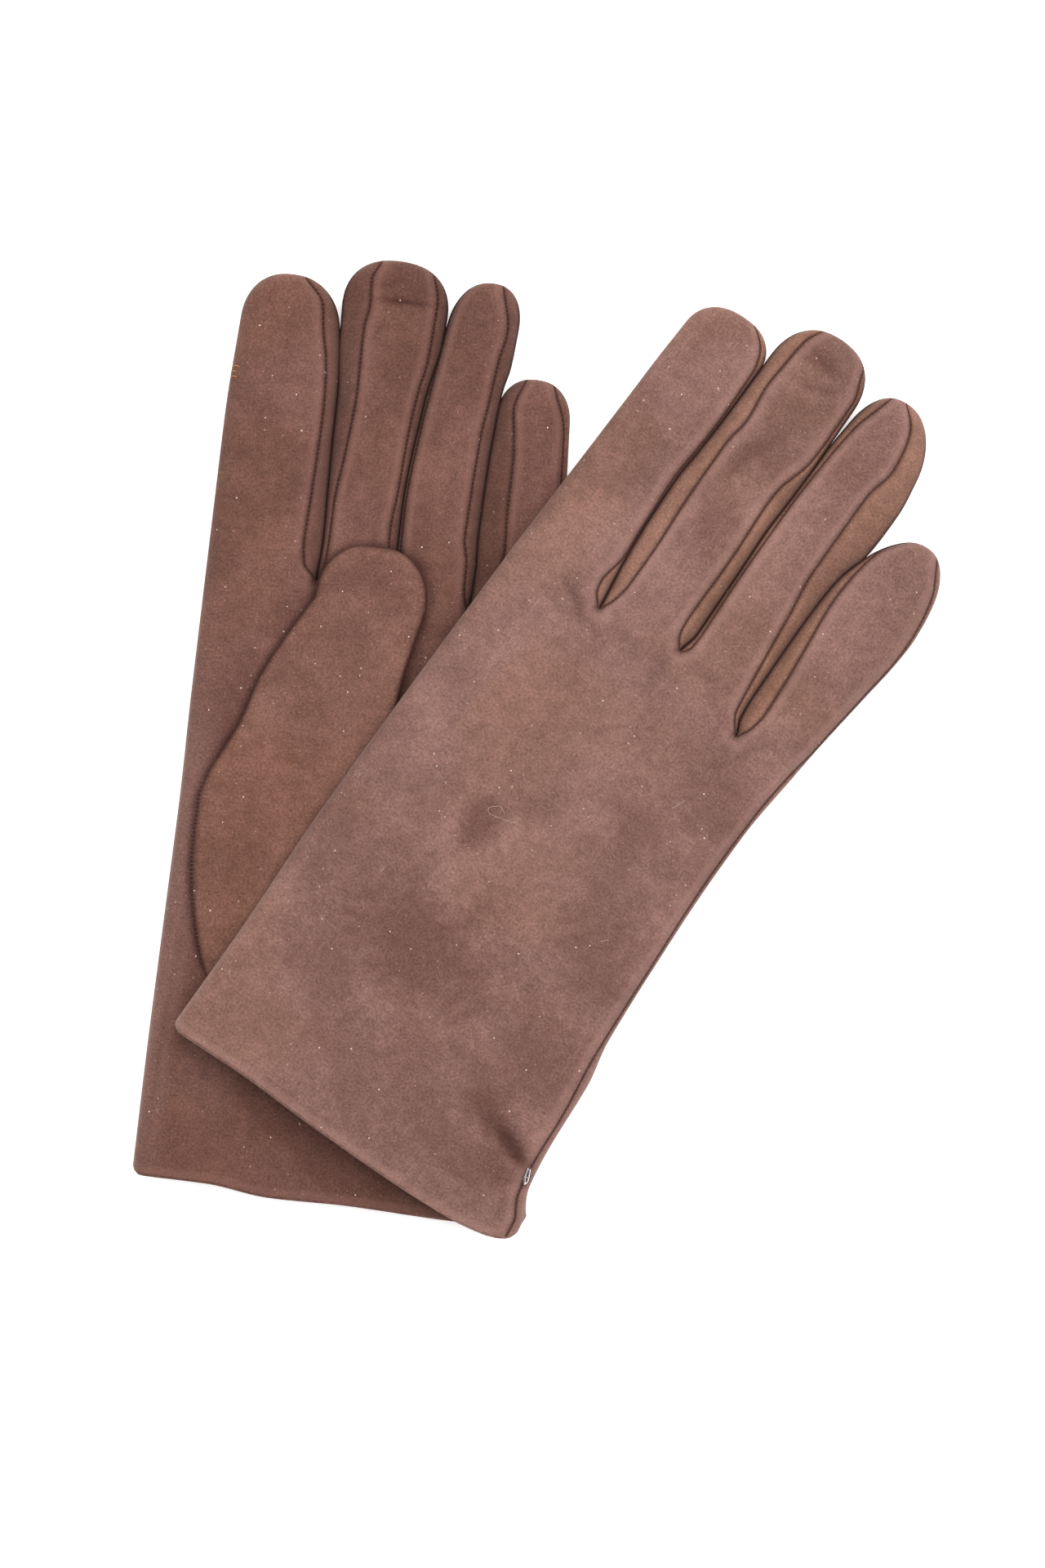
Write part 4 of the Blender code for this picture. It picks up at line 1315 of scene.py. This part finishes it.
def paint(piece, material):
    piece.data.materials.clear()
    piece.data.materials.append(material)
    return piece


# Putting it together.


def bend(glove, piece, end, u, v_start, v_stop):
    """Bake a piece's place into its mesh; it is not bent, the lines across it from v_start to v_stop are
    worked out but not used, and end is not used.
    """
    start = Vector(glove.place(u, v_start, 0.0))
    stop = Vector(glove.place(u, v_stop, 0.0))
    start.z = stop.z = 0.0
    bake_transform(piece)


def bend_with_finger(glove, number, piece):
    finger = glove.fingers[number]
    v, half = finger.joint, blend_half(finger)
    u = float(spline(finger.left, v) + spline(finger.right, v)) / 2.0
    bend(glove, piece, FINGER_NAMES[number], u, v - half, v + half)


def bend_with_thumb(glove, piece):
    bend(glove, piece, "thumb", THUMB_HINGE_U, *THUMB_HINGE_V)


def stand_for(piece, slot, *nodes):
    """Hide the CAD nodes that a piece takes the place of; piece and slot, the name of its material, are not
    used.
    """
    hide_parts(*nodes)


def build_glove(glove, looks):
    """All visible pieces of one glove, painted; the hand, strip bases, cuff and hand stitches are tied to the
    glove's body.
    """
    name = glove.name
    body = f"{name}_glove"
    skins, blocks = build_skin(glove)
    hand_look, strip_look = looks[f"{name}_suede"], looks[f"{name}_strip"]
    for number, finger_name in enumerate(FINGER_NAMES):
        end_skin = skins[f"{name}_{finger_name}_skin"]
        bend_with_finger(glove, number, paint(end_skin, hand_look))
        stand_for(end_skin, "suede", f"{name}_trank_{finger_name}_tip", f"{name}_lining_{finger_name}_tip")
        strips = [strip_name(glove, number, neighbour) for neighbour in (number - 1, number + 1)]
        for strip in filter(None, strips):
            base, tip = skins[f"{strip}_base_skin"], skins[f"{strip}_tip_skin"]
            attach(paint(base, strip_look), body)
            bend_with_finger(glove, number, paint(tip, strip_look))
            stand_for(base, "strip_suede", f"{strip}_base")
            stand_for(tip, "strip_suede", f"{strip}_tip")
    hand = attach(paint(skins[f"{name}_hand_skin"], hand_look), body)
    stand_for(hand, "suede", f"{name}_trank_hand")
    hem, lining = build_cuff(glove, blocks)
    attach(paint(hem, hand_look), body)
    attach(paint(lining, looks["lining"]), body)
    stand_for(lining, "lining", f"{name}_lining_hand")
    thumb, grid, levels = build_thumb(glove)
    bend_with_thumb(glove, paint(thumb, looks["thumb"]))
    stand_for(thumb, "thumb_suede", f"{name}_thumb", f"{name}_lining_thumb")
    bend_with_thumb(glove, paint(thumb_stitches(glove, grid, levels), looks["thread"]))
    hand_stitches, end_stitches = build_stitches(glove, blocks)
    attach(paint(hand_stitches, looks["thread"]), body)
    for number, piece in enumerate(end_stitches):
        bend_with_finger(glove, number, paint(piece, looks["thread"]))
    return blocks


FLOOR_GAP = 0.0005
ROOM_LIGHT = 0.34
LAMPS = {"key": ((0.5, 0.45, 1.45), 1.5, 31.0), "fill": ((-0.9, 0.2, 1.5), 1.2, 12.0)}
CAMERA_DISTANCE = 1.6
FRAME_HEIGHT = 0.4128
FRAME_MIDDLE = (-0.00375, -0.00935)
MIDDLE_HEIGHT = 0.012


def build_floor():
    """A white table that glows a little, as paper does under studio light."""
    bpy.ops.mesh.primitive_plane_add(size=6.0, location=(0.0, 0.0, -FLOOR_GAP))
    floor = bpy.context.active_object
    floor.name = "white_table"
    n = Nodes("white_table")
    white = n.grey(n.ramp(n.noise(n.place(), 40.0, 3.0), 0.3, 0.7, 0.94, 0.97))
    looks = {"Base Color": white, "Emission Color": white, "Emission Strength": 0.5, "Roughness": 0.9}
    paint(floor, n.surface(looks))


def build_lights():
    """A white room and two soft lamps, each as (place, size, power)."""
    world = bpy.data.worlds.new("studio")
    world.use_nodes = True
    background = world.node_tree.nodes["Background"]
    background.inputs["Color"].default_value = (1.0, 1.0, 1.0, 1.0)
    background.inputs["Strength"].default_value = ROOM_LIGHT
    bpy.context.scene.world = world
    for name, (place, size, power) in LAMPS.items():
        data = bpy.data.lights.new(name, "AREA")
        data.size = size
        data.energy = power
        lamp = link(name, data)
        lamp.location = place
        lamp.rotation_euler = (-Vector(place)).to_track_quat("-Z", "Y").to_euler()


def build_camera():
    """A camera straight above the pair."""
    data = bpy.data.cameras.new("camera")
    data.lens = data.sensor_width * CAMERA_DISTANCE / FRAME_HEIGHT
    camera = link("camera", data)
    camera.location = (*FRAME_MIDDLE, CAMERA_DISTANCE + MIDDLE_HEIGHT)
    bpy.context.scene.camera = camera
    bpy.context.scene.view_settings.view_transform = "Standard"


def build_looks():
    """Every material of the pair."""
    return {
        "right_suede": suede("right_suede", (0.204, 0.107, 0.088), DARK_PATCHES),
        "left_suede": suede("left_suede", (0.144, 0.066, 0.051), LEFT_PATCHES, SHEEN_PATCHES),
        "thumb": suede("thumb_suede", (0.17, 0.08, 0.06), THUMB_PATCHES),
        "right_strip": suede("right_strip_suede", (0.21, 0.105, 0.075), lint=0.3),
        # Partly painted shade: the left fourchettes are darker than the panels partly because they face
        # sideways, away from the light, and partly from their nap.
        "left_strip": suede("left_strip_suede", (0.112, 0.05, 0.038), lint=0.3),
        "thread": thread("dark_thread", (0.105, 0.045, 0.035)),
        "orange": thread("orange_thread", (0.42, 0.16, 0.05)),
        "lining": lining_cloth("lining_cloth"),
        "nylon": clear_nylon("clear_nylon"),
        "fibre": thread("dust_fibre", (0.6, 0.5, 0.45)),
    }


def main():
    for old in list(bpy.data.objects):
        bpy.data.objects.remove(old, do_unlink=True)
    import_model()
    looks = build_looks()
    left_blocks = build_glove(LEFT, looks)
    bend_with_finger(LEFT, 0, paint(build_thread_ends(left_blocks[0]), looks["orange"]))
    right_blocks = build_glove(RIGHT, looks)
    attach(paint(build_fibres(right_blocks), looks["fibre"]), "right_glove")
    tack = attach(paint(build_tack(), looks["nylon"]), "tack")
    stand_for(tack, "tack_plastic", "pair_tack")
    build_floor()
    build_lights()
    build_camera()


main()
